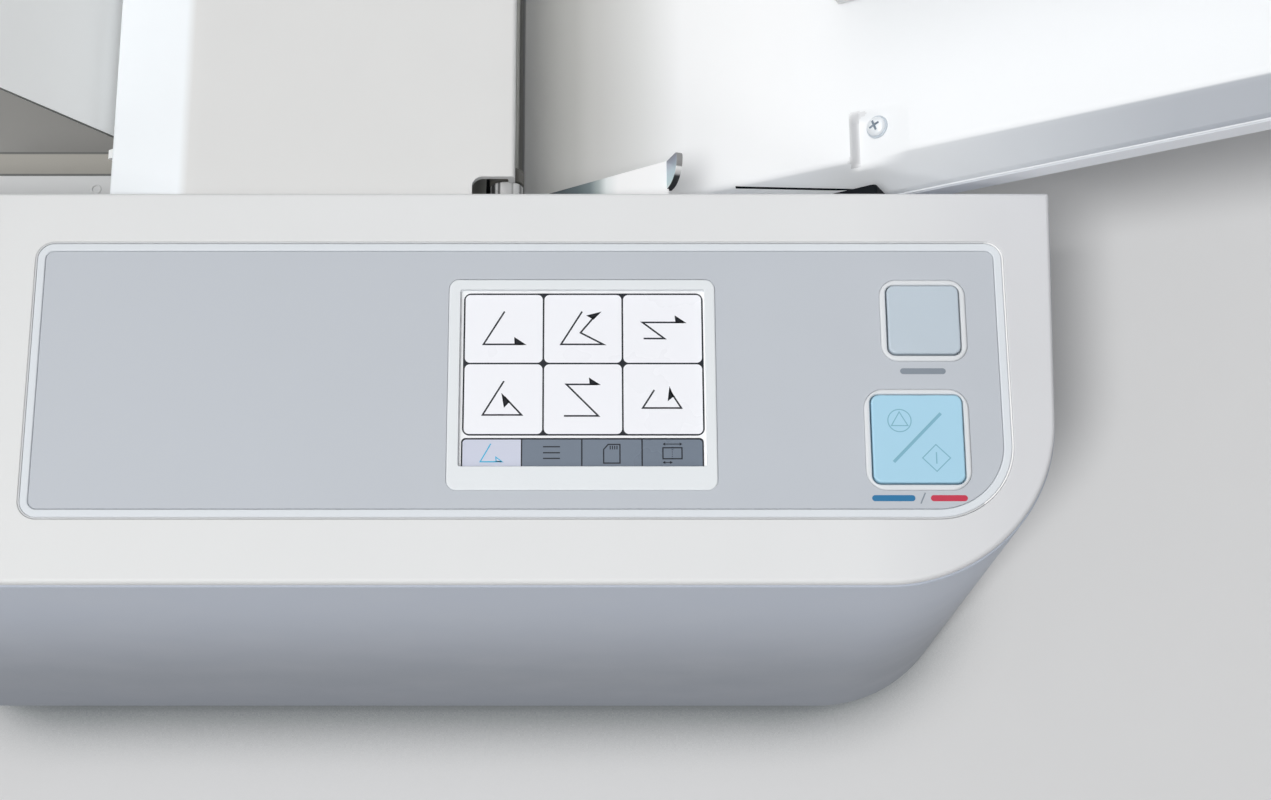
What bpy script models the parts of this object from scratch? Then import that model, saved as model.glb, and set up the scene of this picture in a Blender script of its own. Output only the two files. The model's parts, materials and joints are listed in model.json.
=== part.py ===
# Desktop paper folding machine: every piece is a named closed solid, in metres, +Z up.
# The origin is the middle of the footprint on the table. +X is the feed end, -Y the operator's side.
import math

import bmesh
import bpy
from mathutils import Vector

# Clearances
GAP = 0.0003
SLIDE_GAP = 0.0004
# How far a cutter runs past what it cuts
PAST = 0.01

# Overall
HALF_LENGTH = 0.405
FOOT_HEIGHT = 0.0087
FOOT_RADIUS = 0.011
FOOT_INSET = 0.035
FOOT_RIGHT_X = 0.105
PAN_T = 0.002
PAN_RIM_Z = 0.030
STAY_R = 0.006
STAY_COVER_X = -0.104
STAY_BEND_X = 0.025
STAY_BASE_X = 0.122
LOW_STAYS = ((-0.035, 0.094), (-0.172, 0.045), (0.140, 0.024))

# Paper space between the two side frames
SPACE_WIDTH = 0.3513
SIDE_FRAME_T = 0.003
SIDE_LEFT_X = -0.190
SIDE_RIGHT_X = 0.1555
SIDE_TOP_Z = 0.200
EAR_TOP_Z = 0.2125
EAR_LEFT_X = -0.010
EAR_RIGHT_X = 0.009
REST_LEFT_X = -0.121
REST_RIGHT_X = -0.087
NOTCH_RIGHT_X = 0.076
NOTCH_Z = 0.178

# Operator's pod: grey housing under a thin pale top
POD_TOP_Z = 0.220
POD_LEFT_X = -0.200
POD_RIGHT_X = 0.1644
POD_TAPER = 0.0034
POD_CORNER_R = 0.050
POD_BACK_CORNER_R = 0.008
TOP_T = 0.003
TOP_EDGE_R = 0.0013
TOP_LIP_T = 0.002
TOP_LIP_DEPTH = 0.004
HOUSING_PROUD = 0.0005
HOUSING_WALL = 0.003
HOUSING_BOTTOM_Z = 0.015

# Control panel let into the pod's top
PANEL_LEFT_X = -0.1363
PANEL_RIGHT_X = 0.1493
PANEL_FROM_FRONT = 0.0189
PANEL_FROM_SPACE = 0.0151
PANEL_R = 0.005
PANEL_CORNER_R = 0.022
PANEL_T = 0.0017
PANEL_RIM = 0.0024
PANEL_RECESS = 0.0009
PANEL_LEDGE = 0.003
LEDGE_DEPTH = PANEL_T + GAP
FASCIA_T = 0.0005
FASCIA_R = 0.0026

# Screen
BEZEL_MIDDLE_X = 0.025
BEZEL_OFF_MIDDLE = -0.0017
BEZEL_WIDTH = 0.0782
BEZEL_DEPTH = 0.0644
BEZEL_R = 0.003
BEZEL_FLANGE = 0.0012
BEZEL_BODY_T = 0.0078
BEZEL_WALL = 0.0012
WINDOW_OFF_X = 0.00015
WINDOW_OFF_Y = 0.0020
WINDOW_WIDTH = 0.0717
WINDOW_DEPTH = 0.0540
WINDOW_LIP_T = 0.0012
SCREEN_T = 0.0065

# Buttons: square caps in raised rings
TEST_X = 0.125
TEST_RING = 0.0252
TEST_CAP = 0.021
START_X = 0.1218
START_RING = 0.0304
START_CAP = 0.0263
KEY_FRONT_MARGIN = 0.0082
KEY_BETWEEN = 0.0085
KEY_REAR_MARGIN = 0.0119
RING_R = 0.005
RING_PROUD = 0.0004
CAP_R = 0.0022
CAP_PROUD = 0.0012
CAP_EDGE_R = 0.0005
CAP_SKIRT = 0.0018
CAP_SKIRT_T = 0.0015

# Control board under the panel
BOARD_LEFT_X = -0.060
BOARD_RIGHT_X = 0.132
BOARD_FROM_FRONT = 0.013
BOARD_FROM_SPACE = 0.0087
BOARD_T = 0.0016
SWITCH_SIZE = 0.006
SWITCH_T = 0.0024
BOSS_R = 0.003
BOSS_INSET_X = 0.005
BOSS_INSET_Y = 0.0035

# Drive housing behind the paper space
DRIVE_TOP_Z = 0.220
DRIVE_TOP_T = 0.005
DRIVE_CORNER_R = 0.025

# Fold rollers: four rubber rollers on a square pitch
ROLLER_PITCH = 0.032
NIP_GAP = 0.0004
ROLLER_R = (ROLLER_PITCH - NIP_GAP) / 2
ROLLER_END_GAP = 0.0032
JOURNAL_R = 0.005
ROLLER_1_X = -0.050
ROLLER_1_Z = 0.185
BUSH_R = 0.009
BOSS_PROUD = 0.0018

# Drive train, in layers outside the drive side frame
LAYER_GAP = 0.003
OUTER_LAYER_GAP = 0.0045
DRIVE_ROOM = 0.0255
PULLEY_WIDTH = 0.009
GEAR_WIDTH = 0.010
GEAR_TEETH = 20
GEAR_ADDENDUM = 0.0011
GEAR_DEDENDUM = 0.0017
GEAR_BACKLASH = 0.0009
MAIN_PULLEY_R = 0.020
MOTOR_PULLEY_R = 0.010
SMALL_PULLEY_R = 0.010
BELT_T = 0.0014
BELT_WIDTH = 0.008
MOTOR_X = -0.022
MOTOR_Z = 0.050
MOTOR_R = 0.028
MOTOR_LENGTH = 0.075
MOTOR_SHAFT_R = 0.003

# Feed roller and separator
FEED_X = -0.007
FEED_Z = 0.1875
FEED_R = 0.0175
FEED_SHAFT_R = 0.004
FEED_TYRE_WIDTH = 0.026
FEED_TYRE_PITCH = 0.044
PAD_BELOW_WINDOW = 0.010
PAD_WIDTH = 0.070
PAD_LENGTH = 0.016

# Roller cover over the fold rollers
COVER_TOP_Z = 0.218
COVER_T = 0.002
COVER_RIGHT_X = 0.0048
COVER_FLAT_X = -0.094
COVER_LEFT_X = -0.118
COVER_DROP = 0.0065
COVER_LEAN = 0.0005
COVER_BEND_R = 0.030
COVER_EDGE_R = 0.0015
COVER_FLANGE = 0.005
COVER_SIDE_GAP = 0.0005
HINGE_X = 0.002
HINGE_Z = 0.206
HINGE_COLLAR_R = 0.005
HINGE_SPIGOT_R = 0.003
HINGE_COLLAR_LENGTH = 0.008
HINGE_SPIGOT_LENGTH = 0.0055
LUG_T = 0.0045
LUG_R = 0.0052
LUG_NECK = 0.0022
COVER_NOTCH_X = -0.008
COVER_NOTCH_DEPTH = 0.0064
COVER_NOTCH_R = 0.0032

# Gate plate at the stack's leading edge
GATE_X = 0.0028
GATE_T = 0.0018
GATE_TOP_Z = 0.2004
GATE_BOTTOM_Z = 0.130
GATE_WINDOW_HALF = 0.044
GATE_WINDOW_BOTTOM_Z = 0.160

# Feed tray: level at the gate, a concave bend, then a straight rise
TRAY_LEVEL_Z = 0.168
TRAY_LEFT_X = 0.0063
TRAY_SLOPE = 0.574
TRAY_BEND_X = 0.03075
TRAY_BEND_R = 0.100
TRAY_SIDE_ROOM = 0.006
TRAY_T = 0.003
TRAY_SHOULDER_R = 0.003
TRAY_SHOULDER_INNER_R = 0.001
TRAY_SIDE_TILT = 56.0
TRAY_SIDE = 0.0135
TRAY_BASE_LEFT_X = 0.085
TRAY_BASE_DEPTH = 0.010
TRAY_BASE_T = 0.0025
TRAY_BASE_PROUD = 0.0008
TRAY_BASE_R = 0.003
TRAY_BASE_SHY = 0.0005
SCREW_X = 0.1138
SCREW_FAR_X = 0.330
SCREW_INSET = 0.0186
SCREW_POCKET_R = 0.0055
SCREW_POCKET_DEPTH = 0.0012

# Lift plate at the tray's foot and the lever that lowers it
LIFT_HALF_WIDTH = 0.060
LIFT_TIP_X = 0.0115
LIFT_TIP_Z = 0.1745
LIFT_PIVOT_X = 0.074
LIFT_PIVOT_Z = 0.1845
LIFT_T = 0.0015
LIFT_CLEARANCE = 0.0015
LIFT_PIN_R = 0.002
LIFT_KNUCKLE_R = 0.0036
TRAY_BOSS_T = 0.004
TRAY_BOSS_HALF = 0.005
LEVER_X = -0.020
LEVER_Z = 0.196
LEVER_T = 0.002
LEVER_STANDOFF = 0.0057
LEVER_TOP_Z = 0.208
LEVER_LEFT_X = 0.0123
LEVER_LEFT_REACH = 0.0047
LEVER_RIGHT_X = 0.0515
LEVER_RIGHT_REACH = 0.0165
LEVER_TAB_LENGTH = 0.0085
LEVER_TAB_WIDTH = 0.0095
LEVER_TAB_FRONT_R = 0.0075
LEVER_TAB_REAR_R = 0.0012
LEVER_TAB_TILT = 70.0
LEVER_PIN_R = 0.003
LEVER_HUB = 0.005
LEVER_HEAD = 0.002
LEVER_HEAD_T = 0.003
LEVER_WEB_DROP = 0.006
LEVER_TAB_LAP = 0.0008

# Side guides on the straight part of the tray
GUIDE_LEFT_X = 0.105
GUIDE_LENGTH = 0.150
GUIDE_HEIGHT = 0.035
GUIDE_T = 0.003
GUIDE_FOOT = 0.022
GUIDE_FOOT_T = 0.0025
GUIDE_FOOT_SHY = 0.004
GUIDE_CORNER_R = 0.012
GUIDE_FROM_TRAY_SIDE = 0.06465

# Fold plates: pairs of flat sheets with a sliding stop between them
FOLD_SHEET_T = 0.0015
FOLD_GAP = 0.004
FOLD_SLOTS = 5
FOLD_SLOT_PITCH = 0.055
FOLD_SLOT_WIDTH = 0.008
FOLD_SLOT_START = 0.085
FOLD_SLOT_END = 0.030
FOLD_SIDE_ROOM = 0.02665
FOLD_UNDER_SHY = 0.009
FOLD_EAR_THIN = 0.0002
FOLD_1_X = -0.0965
FOLD_1_Z = 0.167
FOLD_1_TILT = 127.0
FOLD_1_LENGTH = 0.302
FOLD_1_STOP = 0.200
FOLD_2_X = -0.055
FOLD_2_Z = 0.124
FOLD_2_TILT = -22.0
FOLD_2_LENGTH = 0.215
FOLD_2_STOP = 0.120
STOP_T = 0.0030
STOP_DEPTH = 0.012
STOP_KNOB = 0.010
STOP_KNOB_LAP = 0.0005
STOP_KNOB_PAST = 0.001
BRACKET_T = 0.003
BRACKET_LAP = 0.001
FOLD_1_BRACKET = 0.002
BRACKET_LENGTH = 0.033
BRACKET_HALF = 0.008
BRACKET_FOOT = 0.008
FOLD_2_BRACKET = 0.020

# Delivery conveyor at the exit end
CONVEYOR_DRIVE_X = -0.110
CONVEYOR_DRIVE_Z = 0.106
CONVEYOR_END_X = -0.386
CONVEYOR_END_Z = 0.058
CONVEYOR_ROLLER_R = 0.010
CONVEYOR_SHAFT_R = 0.004
CONVEYOR_BELT_T = 0.0012
BELT_SIDE_ROOM = 0.03065
BED_T = 0.002
BED_BELOW_BELT = 0.0012
RAIL_T = 0.0025
RAIL_LOW = 0.015
RAIL_HIGH = 0.020
RAIL_PAST = 0.013
STACKER_AT = 0.170
STACKER_SHAFT_R = 0.004
STACKER_WHEEL_R = 0.010
STACKER_BLOCK = 0.014
STACKER_LAP = 0.001
STACKER_OVER_BELT = 0.002
STACKER_OVER_RAIL = 0.010
STACKER_BAR = 0.007
STACKER_WHEEL_WIDTH = 0.012
STACKER_WHEELS = 4
STACKER_WHEEL_PITCH = 0.080

# Exit side covers, stepped down towards the conveyor
EXIT_LEFT_X = -0.188
EXIT_RIGHT_X = -0.112
EXIT_UPPER_Z = 0.190
EXIT_LOWER_Z = 0.160
EXIT_FOOT_Z = 0.135
EXIT_STEP = 0.0195
EXIT_WIDTH = 0.040
EXIT_WALL = 0.002

# Electrics
SUPPLY_LEFT_X = -0.150
SUPPLY_FROM_FRONT = 0.0245
SUPPLY_LENGTH = 0.130
SUPPLY_DEPTH = 0.070
SUPPLY_HEIGHT = 0.055
INLET_X = -0.110
INLET_Z = 0.060
INLET_WIDTH = 0.0270
INLET_HEIGHT = 0.0200
INLET_DEPTH = 0.020
INLET_WALL = 0.003
INLET_PINS = ((-0.007, -0.002), (0.0, 0.002), (0.007, -0.002))
INLET_PIN_HALF_X = 0.001
INLET_PIN_HALF_Z = 0.002
INLET_PIN_SHY = 0.003
SWITCH_X = -0.060
ROCKER_WIDTH = 0.013
ROCKER_HEIGHT = 0.019
ROCKER_DEPTH = 0.010
ROCKER_DISH = 0.0012
ROCKER_TAPER = 0.6

# Helpers
AXES = {
    "x": (Vector((0, 1, 0)), Vector((0, 0, 1)), Vector((1, 0, 0))),
    "y": (Vector((1, 0, 0)), Vector((0, 0, 1)), Vector((0, 1, 0))),
    "z": (Vector((1, 0, 0)), Vector((0, 1, 0)), Vector((0, 0, 1))),
}
ROUND = 24
SMALL_ROUND = 16


def clear_scene():
    for item in list(bpy.data.objects):
        bpy.data.objects.remove(item, do_unlink=True)


def paint(name, colour, roughness, metallic=0.0):
    """A plain material in the part's own colour."""
    made = bpy.data.materials.get(name)
    if made:
        return made
    made = bpy.data.materials.new(name)
    made.use_nodes = True
    shader = made.node_tree.nodes["Principled BSDF"]
    shader.inputs["Base Color"].default_value = (*colour, 1.0)
    shader.inputs["Roughness"].default_value = roughness
    shader.inputs["Metallic"].default_value = metallic
    return made


def white():
    return paint("white_plastic", (0.74, 0.74, 0.74), 0.45)


def grey():
    return paint("grey_plastic", (0.40, 0.43, 0.48), 0.45)


def dark():
    return paint("dark_plastic", (0.05, 0.05, 0.055), 0.5)


def rubber():
    return paint("rubber", (0.03, 0.03, 0.03), 0.8)


def steel():
    return paint("steel", (0.55, 0.55, 0.56), 0.35, 1.0)


def sheet_paint():
    return paint("painted_sheet", (0.55, 0.55, 0.55), 0.5)


def make(name, bm, material):
    """A named object from a bmesh, with its faces turned outward."""
    bmesh.ops.recalc_face_normals(bm, faces=bm.faces)
    mesh = bpy.data.meshes.new(name)
    bm.to_mesh(mesh)
    bm.free()
    mesh.materials.append(material)
    item = bpy.data.objects.new(name, mesh)
    bpy.context.scene.collection.objects.link(item)
    return item


def place_origin(item, point):
    """Put an object's origin on a joint axis and leave its shape where it is."""
    point = Vector(point)
    for vertex in item.data.vertices:
        vertex.co -= point
    item.location = point


def smooth(item, degrees=35.0):
    item.data.shade_smooth()
    item.data.set_sharp_from_angle(angle=math.radians(degrees))


def tool(item):
    item.hide_render = True
    item.display_type = "WIRE"
    return item


def combine(item, operation, others):
    for other in others:
        tool(other)
        step = item.modifiers.new(other.name, "BOOLEAN")
        step.operation = operation
        step.solver = "EXACT"
        step.object = other


def cut(item, *others):
    combine(item, "DIFFERENCE", others)


def join(item, *others):
    combine(item, "UNION", others)


def add_prism(bm, outline, axis, start, end):
    across, up, along = AXES[axis]
    low = [bm.verts.new(across * a + up * b + along * start) for a, b in outline]
    high = [bm.verts.new(across * a + up * b + along * end) for a, b in outline]
    bm.faces.new(low)
    bm.faces.new(list(reversed(high)))
    for index in range(len(outline)):
        after = (index + 1) % len(outline)
        bm.faces.new((low[index], low[after], high[after], high[index]))


def prism(name, outline, axis, start, end, material=None):
    bm = bmesh.new()
    add_prism(bm, outline, axis, start, end)
    return make(name, bm, material or steel())


def add_box(bm, low, high):
    outline = ((low[0], low[1]), (high[0], low[1]), (high[0], high[1]), (low[0], high[1]))
    add_prism(bm, outline, "z", low[2], high[2])


def box(name, low, high, material=None):
    bm = bmesh.new()
    add_box(bm, low, high)
    return make(name, bm, material or steel())


def circle(x, y, radius, steps=SMALL_ROUND):
    angles = [2 * math.pi * step / steps for step in range(steps)]
    return [(x + radius * math.cos(angle), y + radius * math.sin(angle)) for angle in angles]


def rod(name, axis, middle, radius, start, end, material=None, steps=SMALL_ROUND):
    item = prism(name, circle(middle[0], middle[1], radius, steps), axis, start, end, material)
    smooth(item)
    return item


def add_turned(bm, axis, middle, profile, steps, closed=False):
    """Spin (place along the axis, radius) points about an axis; a closed profile makes a ring."""
    across, up, along = AXES[axis]
    centre = across * middle[0] + up * middle[1]
    rings = []
    for place, radius in profile:
        ring = []
        for a, b in circle(0.0, 0.0, radius, steps):
            ring.append(bm.verts.new(centre + across * a + up * b + along * place))
        rings.append(ring)
    pairs = list(zip(rings, rings[1:]))
    if closed:
        pairs.append((rings[-1], rings[0]))
    else:
        bm.faces.new(rings[0])
        bm.faces.new(list(reversed(rings[-1])))
    for ring, following in pairs:
        for index in range(steps):
            after = (index + 1) % steps
            bm.faces.new((ring[index], ring[after], following[after], following[index]))


def turned(name, axis, middle, profile, material, steps=ROUND, closed=False):
    bm = bmesh.new()
    add_turned(bm, axis, middle, profile, steps, closed)
    item = make(name, bm, material)
    smooth(item)
    return item


def rounded(corners, steps=5):
    """An outline through (a, b, radius) corners, each corner turned with its own radius."""
    outline = []
    for index, (a, b, radius) in enumerate(corners):
        corner = Vector((a, b))
        if radius <= 0:
            outline.append((a, b))
            continue
        before = corners[index - 1]
        after = corners[(index + 1) % len(corners)]
        back = (Vector(before[:2]) - corner).normalized()
        ahead = (Vector(after[:2]) - corner).normalized()
        half = back.angle(ahead) / 2
        centre = corner + (back + ahead).normalized() * radius / math.sin(half)
        reach = radius / math.tan(half)
        first = corner + back * reach - centre
        last = corner + ahead * reach - centre
        begin = math.atan2(first.y, first.x)
        sweep = (math.atan2(last.y, last.x) - begin + math.pi) % (2 * math.pi) - math.pi
        for step in range(steps + 1):
            angle = begin + sweep * step / steps
            outline.append((centre.x + radius * math.cos(angle), centre.y + radius * math.sin(angle)))
    return outline


def slab(x0, y0, x1, y1, radius, steps=4):
    return rounded([(x0, y0, radius), (x1, y0, radius), (x1, y1, radius), (x0, y1, radius)], steps)


def square(x, y, size, radius, steps=4):
    return slab(x - size / 2, y - size / 2, x + size / 2, y + size / 2, radius, steps)


def tilted(origin, degrees):
    """A function that turns (along, across) on a tilted line into world (x, z)."""
    ahead = Vector((math.cos(math.radians(degrees)), math.sin(math.radians(degrees))))
    side = Vector((-ahead.y, ahead.x))

    def point(along, across):
        made = Vector(origin) + ahead * along + side * across
        return (made.x, made.y)

    return point


def band(point, start, end, low, high):
    """A rectangle on a tilted line, as an outline in X and Z."""
    return [point(start, low), point(end, low), point(end, high), point(start, high)]


def loft(name, outer, inner, material, closed_end):
    """A sheet-walled channel: outer and inner open sections joined at their rims and at the start."""
    bm = bmesh.new()
    outside = [[bm.verts.new(point) for point in section] for section in outer]
    inside = [[bm.verts.new(point) for point in section] for section in inner]
    for sections in (outside, inside):
        for section, following in zip(sections, sections[1:]):
            for index in range(len(section) - 1):
                bm.faces.new((section[index], section[index + 1], following[index + 1], following[index]))
    for rim in (0, -1):
        for index in range(len(outside) - 1):
            bm.faces.new((outside[index][rim], outside[index + 1][rim],
                          inside[index + 1][rim], inside[index][rim]))
    ends = [0] if closed_end else [0, -1]
    for end in ends:
        for index in range(len(outside[end]) - 1):
            bm.faces.new((outside[end][index], outside[end][index + 1],
                          inside[end][index + 1], inside[end][index]))
    if closed_end:
        bm.faces.new(outside[-1])
        bm.faces.new(inside[-1])
        bm.faces.new((outside[-1][0], outside[-1][-1], inside[-1][-1], inside[-1][0]))
    return make(name, bm, material)


# Depths across the machine, front to rear
PANEL_DEPTH = KEY_FRONT_MARGIN + START_RING + KEY_BETWEEN + TEST_RING + KEY_REAR_MARGIN
POD_DEPTH = HOUSING_PROUD + PANEL_FROM_FRONT + PANEL_DEPTH + PANEL_FROM_SPACE
LAYERS_DEPTH = LAYER_GAP + PULLEY_WIDTH + LAYER_GAP + GEAR_WIDTH + OUTER_LAYER_GAP + PULLEY_WIDTH
DRIVE_DEPTH = SIDE_FRAME_T + LAYERS_DEPTH + DRIVE_ROOM + HOUSING_WALL
HALF_WIDTH = (POD_DEPTH + SPACE_WIDTH + DRIVE_DEPTH) / 2
SPACE_FRONT_Y = POD_DEPTH - HALF_WIDTH
SPACE_REAR_Y = HALF_WIDTH - DRIVE_DEPTH
SPACE_MIDDLE_Y = (SPACE_FRONT_Y + SPACE_REAR_Y) / 2
POD_FRONT_Y = HOUSING_PROUD - HALF_WIDTH
PANEL_FRONT_Y = POD_FRONT_Y + PANEL_FROM_FRONT
PANEL_REAR_Y = PANEL_FRONT_Y + PANEL_DEPTH
START_Y = PANEL_FRONT_Y + KEY_FRONT_MARGIN + START_RING / 2
TEST_Y = PANEL_REAR_Y - KEY_REAR_MARGIN - TEST_RING / 2
BEZEL_MIDDLE_Y = (PANEL_FRONT_Y + PANEL_REAR_Y) / 2 + BEZEL_OFF_MIDDLE
WINDOW_MIDDLE_X = BEZEL_MIDDLE_X + WINDOW_OFF_X
WINDOW_MIDDLE_Y = BEZEL_MIDDLE_Y + WINDOW_OFF_Y
BOARD_FRONT_Y = POD_FRONT_Y + BOARD_FROM_FRONT
BOARD_REAR_Y = SPACE_FRONT_Y - BOARD_FROM_SPACE
SUPPLY_FRONT_Y = POD_FRONT_Y + SUPPLY_FROM_FRONT
PULLEY_LAYER_Y = SPACE_REAR_Y + SIDE_FRAME_T + LAYER_GAP
GEAR_LAYER_Y = PULLEY_LAYER_Y + PULLEY_WIDTH + LAYER_GAP
OUTER_LAYER_Y = GEAR_LAYER_Y + GEAR_WIDTH + OUTER_LAYER_GAP
TRAY_HALF_WIDTH = SPACE_WIDTH / 2 - TRAY_SIDE_ROOM
GUIDE_HALF_GAP = TRAY_HALF_WIDTH - GUIDE_FROM_TRAY_SIDE
FOLD_HALF_WIDTH = SPACE_WIDTH / 2 - FOLD_SIDE_ROOM
CONVEYOR_BELT_WIDTH = SPACE_WIDTH - 2 * BELT_SIDE_ROOM

# Places worked out from the driving sizes
FRAME_FRONT_IN_Y = SPACE_FRONT_Y
FRAME_FRONT_OUT_Y = SPACE_FRONT_Y - SIDE_FRAME_T
FRAME_REAR_IN_Y = SPACE_REAR_Y
FRAME_REAR_OUT_Y = SPACE_REAR_Y + SIDE_FRAME_T
PAN_BOTTOM_Z = FOOT_HEIGHT + GAP
FRAME_BOTTOM_Z = PAN_BOTTOM_Z + PAN_T + GAP
LEVER_WEB_Y = FRAME_FRONT_OUT_Y - LEVER_STANDOFF
LEVER_LEFT_Y = SPACE_FRONT_Y + LEVER_LEFT_REACH
LEVER_RIGHT_Y = SPACE_FRONT_Y + LEVER_RIGHT_REACH
ROLLER_2_Z = ROLLER_1_Z - ROLLER_PITCH
ROLLER_3_X = ROLLER_1_X - ROLLER_PITCH
ROLLER_4_Z = ROLLER_2_Z - ROLLER_PITCH
ROLLERS = (
    (ROLLER_1_X, ROLLER_1_Z),
    (ROLLER_1_X, ROLLER_2_Z),
    (ROLLER_3_X, ROLLER_2_Z),
    (ROLLER_3_X, ROLLER_4_Z),
)
PANEL_TOP_Z = POD_TOP_Z
RECESS_Z = PANEL_TOP_Z - PANEL_RECESS
PANEL_LOW_Z = PANEL_TOP_Z - PANEL_T
BOARD_TOP_Z = PANEL_TOP_Z - WINDOW_LIP_T - SCREEN_T - 2 * GAP


def pod_outline(inset, rear_y):
    """The pod seen from above, drawn in from its top's edge by an inset."""
    right = POD_RIGHT_X - inset
    front = POD_FRONT_Y + inset
    return rounded([
        (POD_LEFT_X + inset, rear_y, 0.0),
        (POD_LEFT_X + inset, front, max(POD_BACK_CORNER_R - inset, 0.001)),
        (right - POD_TAPER, front, POD_CORNER_R - inset),
        (right, rear_y, 0.0),
    ], 10)


def drive_outline(inset, front_y):
    """The drive housing seen from above."""
    left = POD_LEFT_X + inset
    right = POD_RIGHT_X - inset
    rear = HALF_WIDTH - inset
    return rounded([
        (right, front_y, 0.0),
        (right, rear, DRIVE_CORNER_R - inset),
        (left, rear, max(POD_BACK_CORNER_R - inset, 0.001)),
        (left, front_y, 0.0),
    ], 6)


def tray_stations():
    """(x, z) along the tray's top: level, concave bend, straight rise."""
    rise = math.atan(TRAY_SLOPE)
    reach = TRAY_BEND_R * math.tan(rise / 2)
    points = [(TRAY_LEFT_X, TRAY_LEVEL_Z)]
    begin = TRAY_BEND_X - reach
    steps = 7
    for step in range(steps + 1):
        angle = rise * step / steps
        x = begin + TRAY_BEND_R * math.sin(angle)
        points.append((x, TRAY_LEVEL_Z + TRAY_BEND_R * (1 - math.cos(angle))))
    if begin <= TRAY_LEFT_X:
        points = [point for point in points if point[0] > TRAY_LEFT_X]
        points.insert(0, (TRAY_LEFT_X, TRAY_LEVEL_Z))
    points.append((HALF_LENGTH, rise_z(HALF_LENGTH)))
    return points


def rise_z(x):
    """Height of the tray's straight top at x."""
    return TRAY_LEVEL_Z + TRAY_SLOPE * (x - TRAY_BEND_X)


def stacked(name, rings, material):
    """A closed solid through rings of 3D points, capped at both ends."""
    bm = bmesh.new()
    levels = [[bm.verts.new(point) for point in ring] for ring in rings]
    for ring, following in zip(levels, levels[1:]):
        for index in range(len(ring)):
            after = (index + 1) % len(ring)
            bm.faces.new((ring[index], ring[after], following[after], following[index]))
    bm.faces.new(levels[0])
    bm.faces.new(list(reversed(levels[-1])))
    item = make(name, bm, material)
    smooth(item)
    return item


def topped(name, outline_at, low, high, edge_r, material, steps=3):
    """A plate with a rounded top edge; outline_at(inset) gives its outline."""
    rings = [[(x, y, low) for x, y in outline_at(0.0)]]
    for step in range(steps + 1):
        angle = math.pi / 2 * step / steps
        inset = edge_r * (1 - math.cos(angle))
        z = high - edge_r + edge_r * math.sin(angle)
        rings.append([(x, y, z) for x, y in outline_at(inset)])
    return stacked(name, rings, material)


def stay_places():
    """(x, z) of each cross stay, the upper ones set under what rests on them."""
    rise = math.atan(TRAY_SLOPE)
    under_cover = cover_under_z(STAY_COVER_X) - GAP - STAY_R
    under_tray = tray_top_z(STAY_BEND_X) - TRAY_T - 2 * GAP - STAY_R
    base_low = rise_z(STAY_BASE_X) - TRAY_SIDE - GAP - TRAY_BASE_DEPTH
    under_base = base_low - (STAY_R + GAP) / math.cos(rise)
    return (
        (STAY_COVER_X, under_cover),
        (STAY_BEND_X, under_tray),
        (STAY_BASE_X, under_base),
        *LOW_STAYS,
    )


def tray_top_z(x):
    stations = tray_stations()
    for (x0, z0), (x1, z1) in zip(stations, stations[1:]):
        if x0 <= x <= x1:
            return z0 + (z1 - z0) * (x - x0) / (x1 - x0)
    return stations[-1][1]


def cover_under_z(x):
    """Underside of the roller cover's sloping left part."""
    share = (COVER_FLAT_X - x) / (COVER_FLAT_X - COVER_LEFT_X)
    return COVER_TOP_Z - COVER_T - COVER_DROP * share - COVER_LEAN


def panel_outline(inset):
    return rounded([
        (PANEL_LEFT_X + inset, PANEL_FRONT_Y + inset, max(PANEL_R - inset, FASCIA_R)),
        (PANEL_RIGHT_X - inset, PANEL_FRONT_Y + inset, PANEL_CORNER_R - inset),
        (PANEL_RIGHT_X - inset, PANEL_REAR_Y - inset, max(PANEL_R - inset, FASCIA_R)),
        (PANEL_LEFT_X + inset, PANEL_REAR_Y - inset, max(PANEL_R - inset, FASCIA_R)),
    ], 6)


def bezel_outline(inset):
    half_x = BEZEL_WIDTH / 2 - inset
    half_y = BEZEL_DEPTH / 2 - inset
    return slab(BEZEL_MIDDLE_X - half_x, BEZEL_MIDDLE_Y - half_y,
                BEZEL_MIDDLE_X + half_x, BEZEL_MIDDLE_Y + half_y, max(BEZEL_R - inset, 0.0008))


# Base and frames
def base_pan():
    left = POD_LEFT_X + HOUSING_WALL + GAP
    right = POD_RIGHT_X - POD_TAPER + HOUSING_PROUD - HOUSING_WALL - GAP
    front = POD_FRONT_Y - HOUSING_PROUD + HOUSING_WALL + GAP
    rear = HALF_WIDTH - HOUSING_WALL - GAP

    def outline(inset):
        return rounded([
            (left + inset, front + inset, POD_BACK_CORNER_R - inset),
            (right - inset, front + inset, POD_CORNER_R - HOUSING_WALL + GAP - inset),
            (right - inset, rear - inset, DRIVE_CORNER_R - HOUSING_WALL - inset),
            (left + inset, rear - inset, POD_BACK_CORNER_R - inset),
        ], 8)

    pan = prism("base_pan", outline(0.0), "z", PAN_BOTTOM_Z, PAN_RIM_Z, dark())
    hollow = prism("pan_hollow", outline(PAN_T), "z", PAN_BOTTOM_Z + PAN_T, PAN_RIM_Z + PAST)
    cut(pan, hollow)


def rubber_feet():
    for x, end in ((POD_LEFT_X + FOOT_INSET, "left"), (FOOT_RIGHT_X, "right")):
        for y, side in ((FOOT_INSET - HALF_WIDTH, "front"), (HALF_WIDTH - FOOT_INSET, "rear")):
            profile = ((0.0, FOOT_RADIUS), (FOOT_HEIGHT, FOOT_RADIUS + 0.001))
            turned(f"foot_{side}_{end}", "z", (x, y), profile, rubber(), SMALL_ROUND)


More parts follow.
